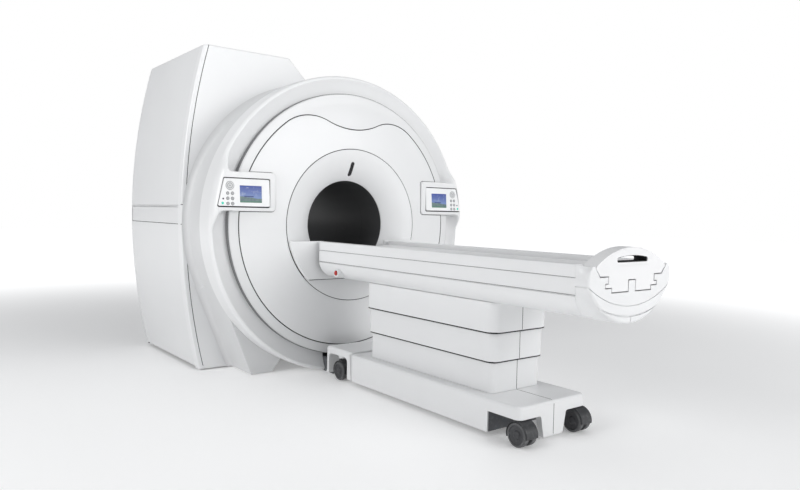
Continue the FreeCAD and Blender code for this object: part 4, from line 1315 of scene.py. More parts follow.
@dataclass
class FrontFace:
    """The front cover, the badge panel with its band, the funnel and the window above the bore."""

    shop: Workshop
    face: BowedFace = field(default_factory=BowedFace)
    wave: WavyEdge = field(default_factory=WavyEdge)
    gap: float = 3.3
    rim: float = 2.2
    slot: Point = (346.0, 412.0)

    def build(self) -> None:
        """Builds the pieces of the front."""
        windows = [ControlTab(side).window(self.shop, 4.4) for side in Side]
        self.plate("front_cover_shell", "front_cover", self.cover_limits, "cover", windows)
        self.plate("badge_panel", "badge_band", self.band_limits, "band")
        self.gaskets()
        self.funnel()
        self.window()

    def cover_limits(self, angle: float) -> Point:
        """The cover's inner and outer radius at an angle."""
        return self.face.inner + self.gap, self.wave.reach(angle) - self.gap

    def band_limits(self, angle: float) -> Point:
        """The badge panel's inner and outer radius at an angle."""
        return self.wave.reach(angle) + self.gap, self.face.band_edge - 0.4

    def plate(
        self,
        name: str,
        node: str,
        limits: Callable[[float], Point],
        finish: str,
        cut: Sequence[Mesh] = (),
    ) -> None:
        """A bowed plate between two radii that change with the angle.

        Args:
            name: The piece's name.
            node: The CAD node that it stands for.
            limits: The inner and the outer radius at an angle.
            finish: The finish's word.
            cut: Meshes whose room is taken out of it.
        """
        rows = []
        for angle in self.wave.angles():
            low, high = limits(angle)
            rows.append([self.spot(angle, r, y) for r, y in self.face.section(low, high, self.rim)])
        self.shop.finish(self.shop.hoop(rows), name, GANTRY, finish, [node], cut=cut)

    @staticmethod
    def spot(angle: float, radius: float, depth: float) -> Vector:
        """The point at an angle and a radius round the bore's axis."""
        return at(radius * math.cos(angle), depth, radius * math.sin(angle))

    def gaskets(self) -> None:
        """The dark strips that lie deep in the front's seams."""
        mesh = bmesh.new()
        reach, wide, deep = self.face.skin - 3.4, self.gap - 0.1, 3.0
        for line in (lambda angle: self.face.inner, self.wave.reach):
            rows = []
            for angle in self.wave.angles():
                radius = line(angle)
                y = self.face.depth(radius) + reach
                corners = ((-wide, y), (wide, y), (wide, y + deep), (-wide, y + deep))
                rows.append([self.spot(angle, radius + dr, dy) for dr, dy in corners])
            self.shop.hoop(rows, mesh)
        for side in Side:
            self.tab_gasket(mesh, ControlTab(side))
        self.shop.seal(mesh, "front_gaskets")

    def tab_gasket(self, mesh: Mesh, tab: "ControlTab") -> None:
        """Adds the dark strip round a tab, a little under the bowed cover's face.

        Args:
            mesh: The mesh to add to.
            tab: The tab.
        """
        rows = []
        edge, sunk, deep = 860.0, 3.2, 2.4
        for (x1, z1), (x2, z2) in zip(tab.outline(-1.0, edge), tab.outline(4.3, edge)):
            y = self.face.depth(math.hypot(x2, z2)) + sunk
            corners = ((x1, y, z1), (x2, y, z2), (x2, y + deep, z2), (x1, y + deep, z1))
            rows.append([at(*corner) for corner in corners])
        self.shop.hoop(rows, mesh)

    def funnel(self) -> None:
        """The flare down to the bore, open below where the docking block stands."""
        rim, mouth, depth, cut, skin = 507.4, 301.0, 98.0, 165.0, 6.0
        front = Flat.trace([(rim, 0.2, 330.0), (mouth, depth)], 22, closed=False)
        back = [(mouth, depth + skin), (mouth + skin, depth + skin), (rim - 14, skin + 8), (rim, skin)]
        profile = front + back
        mesh = bmesh.new()
        steps = 220
        rows = []
        for k in range(steps + 1):
            row = []
            for radius, y in profile:
                lean = math.asin(cut / radius)
                row.append(self.spot(-lean + (math.pi + lean * 2) * k / steps, radius, y))
            rows.append(row)
        lines = self.shop.skin(mesh, rows)
        for line in (lines[0], lines[-1]):
            self.shop.lid(mesh, [line], [profile])
        slot = self.shop.prism(self.capsule(15.0), -20, 150)
        self.shop.finish(mesh, "front_flare", GANTRY, "cover", ["front_funnel"], cut=[slot])

    def capsule(self, radius: float) -> Path:
        """The outline of the window's slot.

        Args:
            radius: The radius of the slot's ends.

        Returns:
            The closed outline.
        """
        low, high = self.slot
        turns = [math.pi * k / 16 for k in range(17)]
        upper = [(radius * math.cos(t), high + radius * math.sin(t)) for t in turns]
        lower = [(-radius * math.cos(t), low - radius * math.sin(t)) for t in turns]
        return upper + lower

    def window(self) -> None:
        """The tinted window in the flare, a little below its surface."""
        front = Flat.trace([(480.0, 6.0, 330.0), (310.0, 88.0)], 20, closed=False)
        mesh = bmesh.new()
        outline = self.capsule(14.4)
        sunk, thick, middle = 3.2, 4.0, sum(self.slot) / 2

        def depth(radius: float) -> float:
            """The Y of the flare's surface at a radius.

            Args:
                radius: The distance from the bore's axis.

            Returns:
                The Y in millimetres.
            """
            for (r1, y1), (r2, y2) in zip(front, front[1:]):
                if r2 <= radius <= r1:
                    return y1 + (y2 - y1) * (r1 - radius) / (r1 - r2)
            return front[-1][1]

        rows = []
        for shrink in (0.0, 0.2, 0.5, 0.8):
            path = [(x * (1 - shrink), middle + (z - middle) * (1 - shrink)) for x, z in outline]
            rows.append([at(x, depth(math.hypot(x, z)) + sunk, z) for x, z in path])
        back = [point + Vector((0, thick, 0)) * MM for point in rows[0]]
        lines = self.shop.skin(mesh, [back] + rows)
        self.shop.lid(mesh, [lines[0]], [outline])
        self.shop.lid(mesh, [lines[-1]], [outline])
        self.shop.finish(mesh, "bore_window", GANTRY, "window", ["laser_window"])


# ------------------------------------------------------------------------------ the ring and its tabs
@dataclass(frozen=True)
class ControlTab:
    """The block on the ring that reaches over the cover and holds a control panel."""

    side: Side = Side.RIGHT
    inner: float = 590.0
    low: float = 80.0
    high: float = 320.0
    front: float = -4.0
    skin: float = 36.0
    corner: float = 26.0
    rim: float = 6.0

    def away(self, z: float) -> float:
        """How far a height is above or below the block, and below 0 inside it."""
        return max(z - self.high, self.low - z)

    def outline(self, grow: float, edge: float) -> Path:
        """The block's outline seen from the front.

        Args:
            grow: How far it is widened.
            edge: The radius where it ends outside.

        Returns:
            The outline.
        """
        low, high, inner = self.low - grow, self.high + grow, self.inner - grow
        ends = [(math.sqrt(edge**2 - z * z), z) for z in (low, high)]
        path = Flat.trace([(inner, low), (*ends[0], -edge), ends[1], (inner, high)], 16)
        path = Flat.soften(path, {0: self.corner + grow, -1: self.corner + grow}, 8)
        return path if self.side is Side.RIGHT else Flat.mirrored(path)

    def window(self, shop: Workshop, gap: float) -> Mesh:
        """The room that the block takes in the front cover."""
        return shop.prism(self.outline(gap, 1030.0), -30, 120)

    def head(self, shop: Workshop, edge: float) -> Mesh:
        """The block's head, from its inner end to the ring."""
        rims = shop.rims(self.front, self.skin, self.rim, 0.0)
        return shop.stack([(run, self.outline(-inset, edge)) for run, inset in rims])


@dataclass
class GantryRing:
    """The broad ring round the front, with its channel, the two tabs and the neck behind it."""

    shop: Workshop
    tab: ControlTab = field(default_factory=ControlTab)
    inner: float = 877.2
    lip: Point = (1.8, 45.4)
    floor_y: float = 84.0
    outer: float = 1000.0
    crest: Point = (978.0, 52.0)
    tab_crest: float = 968.0
    shoulder_y: float = 78.0
    swell_run: float = 120.0
    middle: float = 938.0
    back: float = 200.0
    web: float = 90.0
    floor: float = -981.0
    neck: tuple[float, float] = (984.0, 955.0)
    neck_run: tuple[float, float] = (200.8, 499.2)
    flare: float = 44.0
    foot_top: Point = (868.0, -425.0)
    foot_low: float = 645.0
    # The dark strip of painted shade along the channel's inner wall: its inner and outer radius, its front
    # and its back.
    trim: tuple[float, ...] = (878.9, 881.8, 49.0, 84.6)
    gasket: tuple[float, ...] = (980.0, 990.5, 200.4, 207.5)

    def build(self) -> None:
        """Builds the ring with its tabs, the neck with its foot, the dark strip of painted shade in the
        channel and the gasket in the neck's seam.
        """
        self.ring()
        self.shroud()
        self.strips()

    def summit(self, height: float) -> Point:
        """The crest (radius, y) of the rim for a row at this height: it swells towards the tabs.

        Args:
            height: The row's height over the axis.

        Returns:
            The radius and the Y.
        """
        swell = 1 - ease(self.tab.away(height) / self.swell_run)
        radius, y = self.crest
        return radius + (self.tab_crest - radius) * swell, y + (self.tab.front - y) * swell

    def depth(self, radius: float, z: float, crest: Point) -> float:
        """The front's Y at a radius and a height, for a row with this crest.

        Args:
            radius: The distance from the bore's axis.
            z: The height over the axis.
            crest: The rim's highest place in this row (radius, y).

        Returns:
            The Y in millimetres.
        """
        top_radius, top_y = crest
        if radius >= top_radius:
            share = (radius - top_radius) / (self.outer - top_radius)
            return top_y + (self.shoulder_y - top_y) * (1 - math.sqrt(max(0.0, 1 - share**2)))
        share = (radius - self.inner) / (top_radius - self.inner)
        channel = top_y + (self.floor_y - top_y) * (1 - max(0.0, share) ** 2.1)
        away, near, corner = self.tab.away(z), top_radius - radius, 40.0
        reach = min(away, near)
        if away < corner and near < corner:
            reach = corner - math.hypot(corner - away, corner - near)
        wide = 4 + 10 * ease((radius - self.inner) / 60)
        open_share = ease((reach + self.tab.rim) / (wide + self.tab.rim))
        open_share += (1 - open_share) * ease((away - 80) / 60)
        return top_y + (channel - top_y) * open_share

    def heights(self) -> list[float]:
        """The heights of the rows beside the tabs, closer together near the tabs' edges.

        Returns:
            The heights over the axis, rising.
        """
        spans = ((-70, 30, 10.0), (30, 62, 4.0), (62, 98, 1.5), (98, 302, 12.0), (302, 374, 1.5))
        spans += ((374, 440, 5.5), (440, 470.1, 10.0))
        return [
            low + (high - low) * k / round((high - low) / step)
            for low, high, step in spans
            for k in range(round((high - low) / step))
        ]

    def row(self, height: float, place: Callable[[float], Point]) -> list[Vector]:
        """One closed section of the ring.

        Args:
            height: The row's height at the ring's middle.
            place: The row's point (x, z) at a radius.

        Returns:
            The points in metres.
        """
        crest = self.summit(height)
        wide, lip_y = self.lip
        start = self.inner + wide
        width = crest[0] - start
        radii = [start + width * (1 - math.cos(math.pi * k / 22)) / 2 for k in range(22)]
        radii += [crest[0] + (self.outer - crest[0]) * math.sin(turn) for turn in quarter(9)]
        front = [(radius, self.depth(radius, place(radius)[1], crest)) for radius in radii]
        edge_y = min(lip_y, front[0][1])
        section = [(self.inner, edge_y), (start - 0.4, edge_y)] + front
        section += [(self.outer, self.back - 3), (self.outer - 3, self.back), (self.outer - 8, self.back)]
        section += [(self.outer - 8, self.web), (self.inner, self.web)]
        points = []
        for radius, y in section:
            x, z = place(radius)
            points.append(at(x, y, z))
        return points

    def beside(self, side: Side, height: float) -> list[Vector]:
        """A row beside a tab: level near it, and turning towards the axis further away.

        Args:
            side: The tab's side.
            height: The height over the axis.

        Returns:
            The row's points.
        """
        level = 1 - ease((self.tab.away(height) - 50) / 100)

        def place(radius: float) -> Point:
            """The point (x, z) of the row at a radius."""
            z = height * (level + (1 - level) * radius / self.middle)
            return side.value * math.sqrt(radius**2 - z * z), z

        return self.row(height, place)

    def spoke(self, angle: float) -> list[Vector]:
        """A row at an angle."""
        height = self.middle * math.sin(angle)
        return self.row(height, lambda radius: (radius * math.cos(angle), radius * math.sin(angle)))

    def rows(self) -> list[list[Vector]]:
        """All the rows in a full turn, from the right side on.

        Returns:
            The rows of points in metres.
        """
        heights = self.heights()
        low, high = (math.asin(heights[k] / self.middle) for k in (0, -1))
        over, under = 84, 120
        upper = [high + (math.pi - 2 * high) * k / over for k in range(1, over)]
        lower = [math.pi - low + (math.pi + 2 * low) * k / under for k in range(1, under)]
        rows = [self.beside(Side.RIGHT, height) for height in heights]
        rows += [self.spoke(angle) for angle in upper]
        rows += [self.beside(Side.LEFT, height) for height in reversed(heights)]
        return rows + [self.spoke(angle) for angle in lower]

    def ring(self) -> None:
        """The ring with its tabs, cut flat at the floor and open for the docking frame."""
        under = Flat.box(-1300, 1300, -1300, self.floor)
        work = [("DIFFERENCE", self.shop.prism(room, -40, 300)) for room in (under, self.dock_room())]
        for side in Side:
            work.append(("UNION", ControlTab(side).head(self.shop, self.inner + 3)))
            work.append(("DIFFERENCE", ControlPanel(self.shop, side).recess()))
        mesh = self.shop.hoop(self.rows())
        self.shop.finish(mesh, "gantry_ring_shell", GANTRY, "ring", ["gantry_ring"], work=work)

    @staticmethod
    def dock_room() -> Path:
        """The outline of the room for the docking frame."""
        return Flat.box(-180.6, 180.6, -1100, -868)

    def outline(self, radius: float, inset: float, angles: Iterable[float]) -> Path:
        """The neck's outline with its foot, cut flat at the floor.

        Args:
            radius: The round part's radius.
            inset: How far the foot is drawn in.
            angles: The angles of the points.

        Returns:
            The outline.
        """
        points = []
        top, low = (self.foot_top[0] - inset, self.foot_top[1]), (self.foot_low - inset, self.floor)
        for angle in angles:
            c, s = math.cos(angle), math.sin(angle)
            reach = radius
            if s < 0:
                reach = max(reach, self.ray(abs(c), s, top, low))
                reach = min(reach, self.floor / s)
            points.append((reach * c, reach * s))
        return points

    @staticmethod
    def ray(c: float, s: float, top: Point, low: Point) -> float:
        """How far a ray from the axis goes to the foot's slanted side.

        Args:
            c: The cosine of the ray's angle.
            s: The sine of it.
            top: The side's upper end.
            low: Its lower end.

        Returns:
            The distance, or 0 where the ray misses the side.
        """
        run, fall = low[0] - top[0], low[1] - top[1]
        cross = c * fall - s * run
        if abs(cross) < 1e-9:
            return 0.0
        reach = (top[0] * fall - top[1] * run) / cross
        return reach if low[1] * 1.2 <= reach * s <= top[1] else 0.0

    def shroud(self) -> None:
        """The neck between the ring and the covers, with a hollow flare onto the tower's face, in a darker
        enamel that is painted shade.
        """
        corner, first = math.atan2(self.floor, self.foot_low), math.atan2(*self.foot_top[::-1])
        special = [corner, -math.pi - corner, first, -math.pi - first]
        steps, apart = 240, 0.006
        even = [-math.pi + math.tau * k / steps for k in range(steps)]
        angles = sorted([t for t in even if all(abs(t - s) > apart for s in special)] + special)
        start, end = self.neck_run
        levels = [(start, 2.0), (start + 2, 0.0)]
        for turn in quarter(9):
            levels.append((end - self.flare * (1 - math.sin(turn)), -self.flare * (1 - math.cos(turn))))
        rows = []
        for run, inset in levels:
            share = (run - start) / (end - start)
            radius = self.neck[0] + (self.neck[1] - self.neck[0]) * share - inset
            path = self.outline(radius, inset, angles)
            rows.append([at(x, run, z) for x, z in path])
        for run, radius in ((end, self.neck[1] - 9), (start, self.neck[0] - 10)):
            circle = [(radius * math.cos(t), radius * math.sin(t)) for t in angles]
            rows.append([at(x, run, z) for x, z in circle])
        room = self.shop.prism(self.dock_room(), 100, 600)
        self.shop.finish(self.shop.hoop(rows), "neck_shell", GANTRY, "neck", ["neck_shroud"], cut=[room])

    def strips(self) -> None:
        """The dark strip deep in the channel, painted shade along its inner wall, and the gasket between the
        ring and its neck.
        """
        # Painted shade along the channel's inner wall.
        self.shop.seal(self.shop.turned(Flat.box(*self.trim)), "channel_trim", finish="trim")
        under = self.shop.slab((-700.0, 700.0), (150.0, 260.0), (-1100.0, -760.0), Axis.BORE)
        self.shop.seal(self.shop.turned(Flat.box(*self.gasket)), "neck_gasket", cut=[under])


# ------------------------------------------------------------------------------ control panels
@dataclass
class ControlPanel:
    """A slanted plate with a display, a pad and six keys, set into a recess of the ring's tab."""

    shop: Workshop
    side: Side
    inner: float = 628.0
    low: float = 106.0
    high: float = 280.0
    top_out: float = 932.0
    low_out: float = 971.0
    front: float = -4.6
    thick: float = 9.0
    recess_y: float = 8.5
    slant: float = 4.6
    foot: float = 2.8
    hinge: float = 190.0
    screen: tuple[float, float, float, float] = (757.0, 184.0, 145.0, 104.0)
    pad: Spot = (892.0, 232.0, 26.0)
    key: Spot = (877.0, 124.0, 10.5)
    pitch: Point = (30.0, 31.0)
    key_size: float = 8.4
    lamps: tuple[tuple[str, float, float, float], ...] = (
        ("lamp", 940.0, 126.0, 8.0),
        ("lamp_dark", 936.0, 152.0, 5.4),
    )

    def outline(self, shrink: float, corner: float, foot: float = 0.0) -> Path:
        """The plate's outline, drawn in by 'shrink' and below by 'foot' too, with rounded corners.

        Args:
            shrink: How far the outline is drawn in.
            corner: The corners' radius.
            foot: How far it is drawn in below as well.

        Returns:
            The closed outline.
        """
        corners = [
            (self.inner + shrink, self.low + shrink + foot),
            (self.low_out - shrink, self.low + shrink + foot),
            (self.top_out - shrink, self.high - shrink), (self.inner + shrink, self.high - shrink),
        ]
        path = Flat.soften(corners, corner, 6)
        return path if self.side is Side.RIGHT else Flat.mirrored(path)

    def recess(self) -> Mesh:
        """The room in the tab that the plate sits in."""
        return self.shop.prism(self.outline(-1.6, 13.0, -self.foot), -20.0, self.recess_y)

    def places(self) -> list[Point]:
        """The keys' middles.

        Returns:
            The keys' places (x, z).
        """
        x, z, _ = self.key
        return [
            ((x + self.pitch[0] * column) * self.side.value, z + self.pitch[1] * row)
            for row in range(3)
            for column in range(2)
        ]

    def lean(self, z: float) -> float:
        """How far back the slanted plate is at a height."""
        return (z - self.hinge) * math.tan(math.radians(self.slant))

    def tilted(self, mesh: Mesh, y: float | None = None, z: float | None = None) -> Mesh:
        """The mesh leant back like the plate, about the plate's hinge line or the line at y and z.

        Args:
            mesh: The mesh, which is turned in place.
            y: The line's Y, or None for the hinge.
            z: The line's height, or None for the hinge.

        Returns:
            The mesh.
        """
        middle = Vector((0.0, y or self.front, z or AXIS + self.hinge)) * MM
        turn = Matrix.Rotation(math.radians(-self.slant), 3, "X")
        bmesh.ops.rotate(mesh, verts=mesh.verts, cent=middle, matrix=turn)
        return mesh

    def frame(self, grow: float, corner: float) -> Path:
        """The display's outline.

        Args:
            grow: How far it lies outside the screen.
            corner: The corners' radius.

        Returns:
            The closed outline.
        """
        x, z, wide, high = self.screen
        x *= self.side.value
        half, rise = wide / 2 + grow, high / 2 + grow
        return Flat.soften(Flat.box(x - half, x + half, z - rise, z + rise), corner)

    def build(self) -> None:
        """Builds the plate, the display, the pad, the keys and the lamps."""
        self.plate()
        self.display()
        self.buttons()
        for finish, x, z, wide in self.lamps:
            dome = [(NEAR_ZERO, -1.9), (wide - 2.4, -1.6), (wide - 0.8, -0.9)]
            dome += [(wide, 0.0), (wide, 3.0), (NEAR_ZERO, 3.0)]
            centre = (x * self.side.value, self.front + self.lean(z), AXIS + z)
            mesh = self.shop.turned(dome, 24, centre=centre)
            self.shop.finish(mesh, f"{finish}_{self.side.word}", GANTRY, finish)

    def plate(self) -> None:
        """The plate with its openings, on a dark bed that is painted shadow round the plate."""
        pad_x, pad_z, pad_radius = self.pad
        mesh = self.shop.prism(
            self.outline(3.6, 10.0), self.front, self.front + self.thick, soft=(2.4, 0.0)
        )
        cuts = [self.shop.prism(self.frame(0.0, 3.0), self.front - 5, self.front + 4)]
        holes = [Flat.ring(pad_x * self.side.value, pad_z, pad_radius + 0.8)]
        holes += [Flat.ring(x, z, self.key_size + 0.8, 32) for x, z in self.places()]
        cuts += [self.shop.prism(hole, -20, 20) for hole in holes]
        # A dark bed in the recess: painted shadow in the gap round the plate and below it.
        bed = self.shop.prism(
            self.outline(-1.4, 13.0, -self.foot),
            self.recess_y - 2.6,
            self.recess_y + 0.6,
            holes=[self.outline(9.0, 8.0)],
        )
        self.shop.seal(bed, f"panel_bed_{self.side.word}")
        node = f"panel_plate_{self.side.word}"
        self.shop.finish(
            self.tilted(mesh), f"{node}_shell", GANTRY, "panel", [node], cut=[self.tilted(c) for c in cuts]
        )

    def display(self) -> None:
        """The lit display behind its thin frame."""
        x, z, wide, high = self.screen
        x *= self.side.value
        word = f"display_{self.side.word}"
        middle = (x * MM, 0.0, (AXIS + z) * MM)
        self.shop.finishes.kinds[word] = Display(word, "screen_blue", middle, wide * MM, high * MM)
        glass = self.shop.prism(self.frame(-0.6, 2.6), self.front + 1.4, self.front + 3.7, soft=(0.5, 0.0))
        self.shop.finish(self.tilted(glass), word, GANTRY, word, [f"screen_{self.side.word}"])

    def buttons(self) -> None:
        """The dial-like pad and the six keys, with their rims."""
        word = self.side.word
        pad_x, pad_z, pad_radius = self.pad
        centre = (pad_x * self.side.value, self.lean(pad_z), AXIS + pad_z)
        section, marks = self.dial(pad_radius)
        mesh = self.shop.turned(section, 64, centre=centre, marks=marks)
        self.shop.finish(mesh, f"pad_cap_{word}", f"pad_{word}", ["key", "key_light"], [f"pad_{word}"])
        for number, (x, z) in enumerate(self.places(), start=1):
            cap = self.shop.turned(self.cap(self.key_size), 32, centre=(x, self.lean(z), AXIS + z))
            node = f"key_{word}_{number}"
            self.shop.finish(cap, f"key_cap_{word}_{number}", node, "key", [node])
        recipe = KeyRimRecipe(self.shop.finishes.material("key_rim"))
        x, z, _ = self.key
        values = {"X": (x + self.pitch[0] / 2) * self.side.value, "Z": AXIS + z + self.pitch[1]}
        values |= {"Y": self.front + self.lean(z + self.pitch[1]), "Pitch X": self.pitch[0]}
        values |= {"Pitch Z": self.pitch[1], "Key": self.key_size, "Rim": 1.0}
        mesh = self.tilted(recipe.grow(values), values["Y"], values["Z"])
        self.shop.seal(mesh, f"key_rims_{word}", finish="key_rim")

    def dial(self, radius: float) -> tuple[Path, list[int]]:
        """The pad's section (radius, y) with raised rings, and each run's material number.

        Args:
            radius: The pad's radius.

        Returns:
            The section and the material numbers.
        """
        front, back = self.front - 2.2, self.front + 6.0
        section = [(NEAR_ZERO, front + 0.6), (4.0, front + 0.4), (5.0, front + 1.3)]
        for ring in (8.0, 14.0, 20.0):
            section += [(ring - 2.0, front + 1.2), (ring - 1.4, front), (ring + 2.2, front)]
            section.append((ring + 2.8, front + 1.2))
        section += [(radius - 1.6, front + 1.2), (radius - 0.6, front + 0.2), (radius, front + 1.2)]
        section += [(radius, back), (NEAR_ZERO, back)]
        middles = [(r1 + r2) / 2 for (r1, _), (r2, _) in zip(section, section[1:] + section[:1])]
        marks = [1 if 5.5 < r < 11.5 or 17.4 < r < 22.9 else 0 for r in middles]
        return section, marks

    def cap(self, radius: float) -> Path:
        """A key's section (radius, y) with a dished face.

        Args:
            radius: The key's radius.

        Returns:
            The section.
        """
        front, back = self.front - 2.6, self.front + 5.8
        return [
            (NEAR_ZERO, front + 1.0), (radius - 4.5, front + 0.8), (radius - 3.0, front + 0.2),
            (radius - 1.5, front), (radius - 0.6, front + 0.4), (radius, front + 1.3), (radius, back),
            (NEAR_ZERO, back),
        ]


# ------------------------------------------------------------------------------ tower, sides and rear
@dataclass(frozen=True)
class Enclosure:
    """The covers' outline seen from the front: tall left tower, round right shoulder, bowed sides."""

    floor: float = -975.0
    base_out: float = 879.0
    top_out: float = 856.0
    top_in: float = 234.0
    top: float = 1165.0
    shoulder_x: float = -70.0
    shoulder: float = 1003.0
    right_z: float = 93.0
    bow: float = 4286.0
    roof_corner: float = 30.0

    def corners(self, inset: float) -> list[Corner]:
        """The corners and their bows, drawn in by 'inset', from the lower left one on, clockwise.

        Args:
            inset: How far they are drawn in.

        Returns:
            The corners.
        """
        radius, bow = self.shoulder - inset, self.bow - inset
        return [
            (-(self.base_out - inset), self.floor, bow), (-(self.top_out - inset), self.top - inset),
            (-(self.top_in + inset * 0.42), self.top - inset),
            (self.shoulder_x, math.sqrt(radius**2 - self.shoulder_x**2), radius),
            (math.sqrt(radius**2 - self.right_z**2), self.right_z, bow),
            (self.base_out - inset, self.floor),
        ]

    def outline(self, inset: float) -> Path:
        """The whole outline with the tower's corners a little rounded."""
        path = Flat.trace(self.corners(inset), 60)
        return Flat.soften(path, dict.fromkeys((60, 61, 62), self.roof_corner - min(inset, 24.0)), 6)

    def side(self, side: Side, inset: float) -> Path:
        """One side's line from the floor up to the split near the top's middle.

        Args:
            side: The side.
            inset: How far the line is drawn in.

        Returns:
            The line.
        """
        corners = self.corners(inset)
        if side is Side.LEFT:
            path = Flat.trace(corners[:4], 80, closed=False)
            return Flat.soften(path, dict.fromkeys((80, 81), self.roof_corner - inset), 6)
        return Flat.trace(corners[3:], 80, closed=False)[::-1]

    def strip(self, side: Side, inset: float, skin: float, low: float, high: float) -> Path:
        """The section of a side wall's piece between two heights.

        Args:
            side: The side.
            inset: How far its outer face is drawn in.
            skin: Its thickness.
            low: Its lower edge.
            high: Its upper edge.

        Returns:
            The closed section, with rounded corners.
        """
        outer = self.between(self.side(side, inset), low, high)
        inner = self.between(self.side(side, inset + skin), low, high)
        return Flat.soften(outer + inner[::-1], {0: 2.5, len(outer) - 1: 2.5}, 4)

    @staticmethod
    def between(path: Path, low: float, high: float) -> Path:
        """The part of a rising path between two heights.

        Args:
            path: The rising path (x, z).
            low: The lower height.
            high: The upper height.

        Returns:
            The part.
        """
        result: Path = []
        for (x1, z1), (x2, z2) in zip(path, path[1:]):
            if z1 < low < z2:
                share = (low - z1) / (z2 - z1)
                result.append((x1 + (x2 - x1) * share, low))
            if low <= z1 <= high or (result and high > 1100):
                result.append((x1, z1))
            if z1 < high < z2:
                share = (high - z1) / (z2 - z1)
                result.append((x1 + (x2 - x1) * share, high))
                return result
        return result + [path[-1]]


@dataclass
class Tower:
    """The covers behind the ring: the front strip, the side walls and the rear."""

    shop: Workshop
    shape: Enclosure = field(default_factory=Enclosure)
    front: float = 500.4
    strip_end: float = 561.2
    side_start: float = 561.8
    side_end: float = 1547.6
    back: float = 1550.0
    edge: float = 11.0
    rear_mouth: float = 420.0
    lap: float = 38.0
    seam_wide: float = 5.2
    seam_deep: float = 4.0
    band: tuple[tuple[float, float], ...] = ((-14.8, -11.4), (112.2, 115.8))

    def build(self) -> None:
        """Builds the covers."""
        self.face()
        self.sides()
        self.seams()
        self.rear()

    def lap_x(self, z: float, inset: float) -> float:
        """Where the upright line at 'inset' from the left side is at a height.

        Args:
            z: The height over the axis.
            inset: The distance from the left side.

        Returns:
            The X in millimetres.
        """
        shape = self.shape
        start = (-(shape.base_out - inset), shape.floor - 20, shape.bow - inset)
        line = Flat.trace([start, (-(shape.top_out - inset), shape.top + 20)], 60, False)
        for (x1, z1), (x2, z2) in zip(line, line[1:]):
            if z1 <= z <= z2:
                return x1 + (x2 - x1) * (z - z1) / (z2 - z1)
        return line[-1][0]

    def lap_line(self, inset: float, over: float) -> Path:
        """That line, run past the floor and the roof by 'over'.

        Args:
            inset: The distance from the left side.
            over: How far it is run past the floor and the roof.

        Returns:
            The line.
        """
        low, high = self.shape.floor - over, self.shape.top + over
        heights = [low + (high - low) * k / 48 for k in range(49)]
        return [(self.lap_x(z, inset), z) for z in heights]

    def face_seams(self, low: float, high: float, over: float) -> list[Mesh]:
        """The lap's upright seam and the band's two short ones, between two places along Y.

        Args:
            low: Where they start along Y.
            high: Where they end.
            over: How far they run past the face's outline; below zero, how far they stay inside it.

        Returns:
            A mesh for each seam.
        """
        outer, inner = (self.lap_line(self.lap + k * self.seam_wide / 2, over) for k in (-1, 1))
        meshes = [self.shop.prism(outer + inner[::-1], low, high)]
        for z1, z2 in self.band:
            seam = Flat.box(self.lap_x(z1, -over), self.lap_x(z1, self.lap) - 1, z1, z2)
            meshes.append(self.shop.prism(seam, low, high))
        return meshes

    def face(self) -> None:
        """The front with its rounded edge and the seams of the side's lap."""
        turns = quarter(6)
        levels = [
            (self.front + self.edge * (1 - math.cos(t)), self.edge * (1 - math.sin(t)) + 0.3) for t in turns
        ]
        levels += [(self.strip_end - 0.6, 0.3), (self.strip_end, 0.9)]
        stacked = [(run, self.flat_floor(self.shape.outline(inset))) for run, inset in levels]
        mesh = self.shop.stack(stacked, holes=[Flat.ring(0.0, 0.0, 931.0, 160)])
        inside = self.shop.prism(self.shape.outline(22.0), self.front + 12, 700)
        room = self.shop.prism(Flat.box(-560.6, 560.6, -1100, -945), self.front + 8, 700)
        cuts = [inside, room] + self.face_seams(self.front - 4, self.front + self.seam_deep, 20.0)
        self.shop.finish(mesh, "tower_face", GANTRY, "cover", ["tower_front"], cut=cuts)
        deep = self.front + self.seam_deep
        gaskets = self.face_seams(deep - 0.8, deep + 1, -3.0)
        for number, mesh in enumerate(gaskets):
            self.shop.seal(mesh, f"lap_gasket_{number}")

    def flat_floor(self, path: Path) -> Path:
        """The path with its lowest edge brought back down to the floor line."""
        low = min(z for _, z in path)
        return [(x, self.shape.floor if z < low + 0.1 else z) for x, z in path]

    def sides(self) -> None:
        """The side walls, in three pieces a side."""
        pieces = {"lower": (0.3, -963.0, -14.6), "band": (4.0, -11.6, 112.4), "upper": (0.3, 115.6, 2000.0)}
        for side in Side:
            for word, (inset, low, high) in pieces.items():
                section = self.shape.strip(side, inset, 5.7 if inset < 1 else 6.0, low, high)
                mesh = self.shop.prism(section, self.side_start, self.side_end, soft=(1.6, 1.6))
                node = f"side_{word}_{side.word}"
                finish = "band" if word == "band" else "side"
                self.shop.finish(mesh, f"{node}_shell", GANTRY, finish, [node])

    def seams(self) -> None:
        """The dark strips behind the seams of the covers."""
        mesh = bmesh.new()
        for side in Side:
            for low, high in ((-15.4, -10.8), (111.6, 116.4)):
                section = self.shape.strip(side, 7.4, 3.0, low, high)
                self.shop.prism(section, self.side_start + 2, self.side_end - 2, mesh=mesh)
        outline, hole = (self.flat_floor(self.shape.outline(inset)) for inset in (4.0, 11.0))
        self.shop.prism(outline, self.side_end + 0.2, self.side_end + 2.8, holes=[hole], mesh=mesh)
        self.shop.seal(mesh, "cover_gaskets")

    def rear(self) -> None:
        """The rear cover with its flared mouth."""
        outline = self.flat_floor(self.shape.outline(0.3))
        mouth, start, skin = self.rear_mouth, self.back, 6.0
        mesh = self.shop.prism(
            outline, start + 0.2, start + skin, holes=[Flat.ring(0, 0, mouth + 3, 160)], soft=(0.0, 2.0)
        )
        profile = Flat.trace(
            [
                (301.0, start - 98.0), (307.0, start - 98.0), (mouth + 6, start + 0.4, -900.0),
                (mouth + 6, start + skin - 1), (mouth + 4, start + skin),
                (mouth - 2, start + skin, -200.0),
            ],
            8,
        )
        self.shop.turned(profile, 200, mesh=mesh)
        self.shop.finish(mesh, "rear_shell", GANTRY, "side", ["rear_cover"])


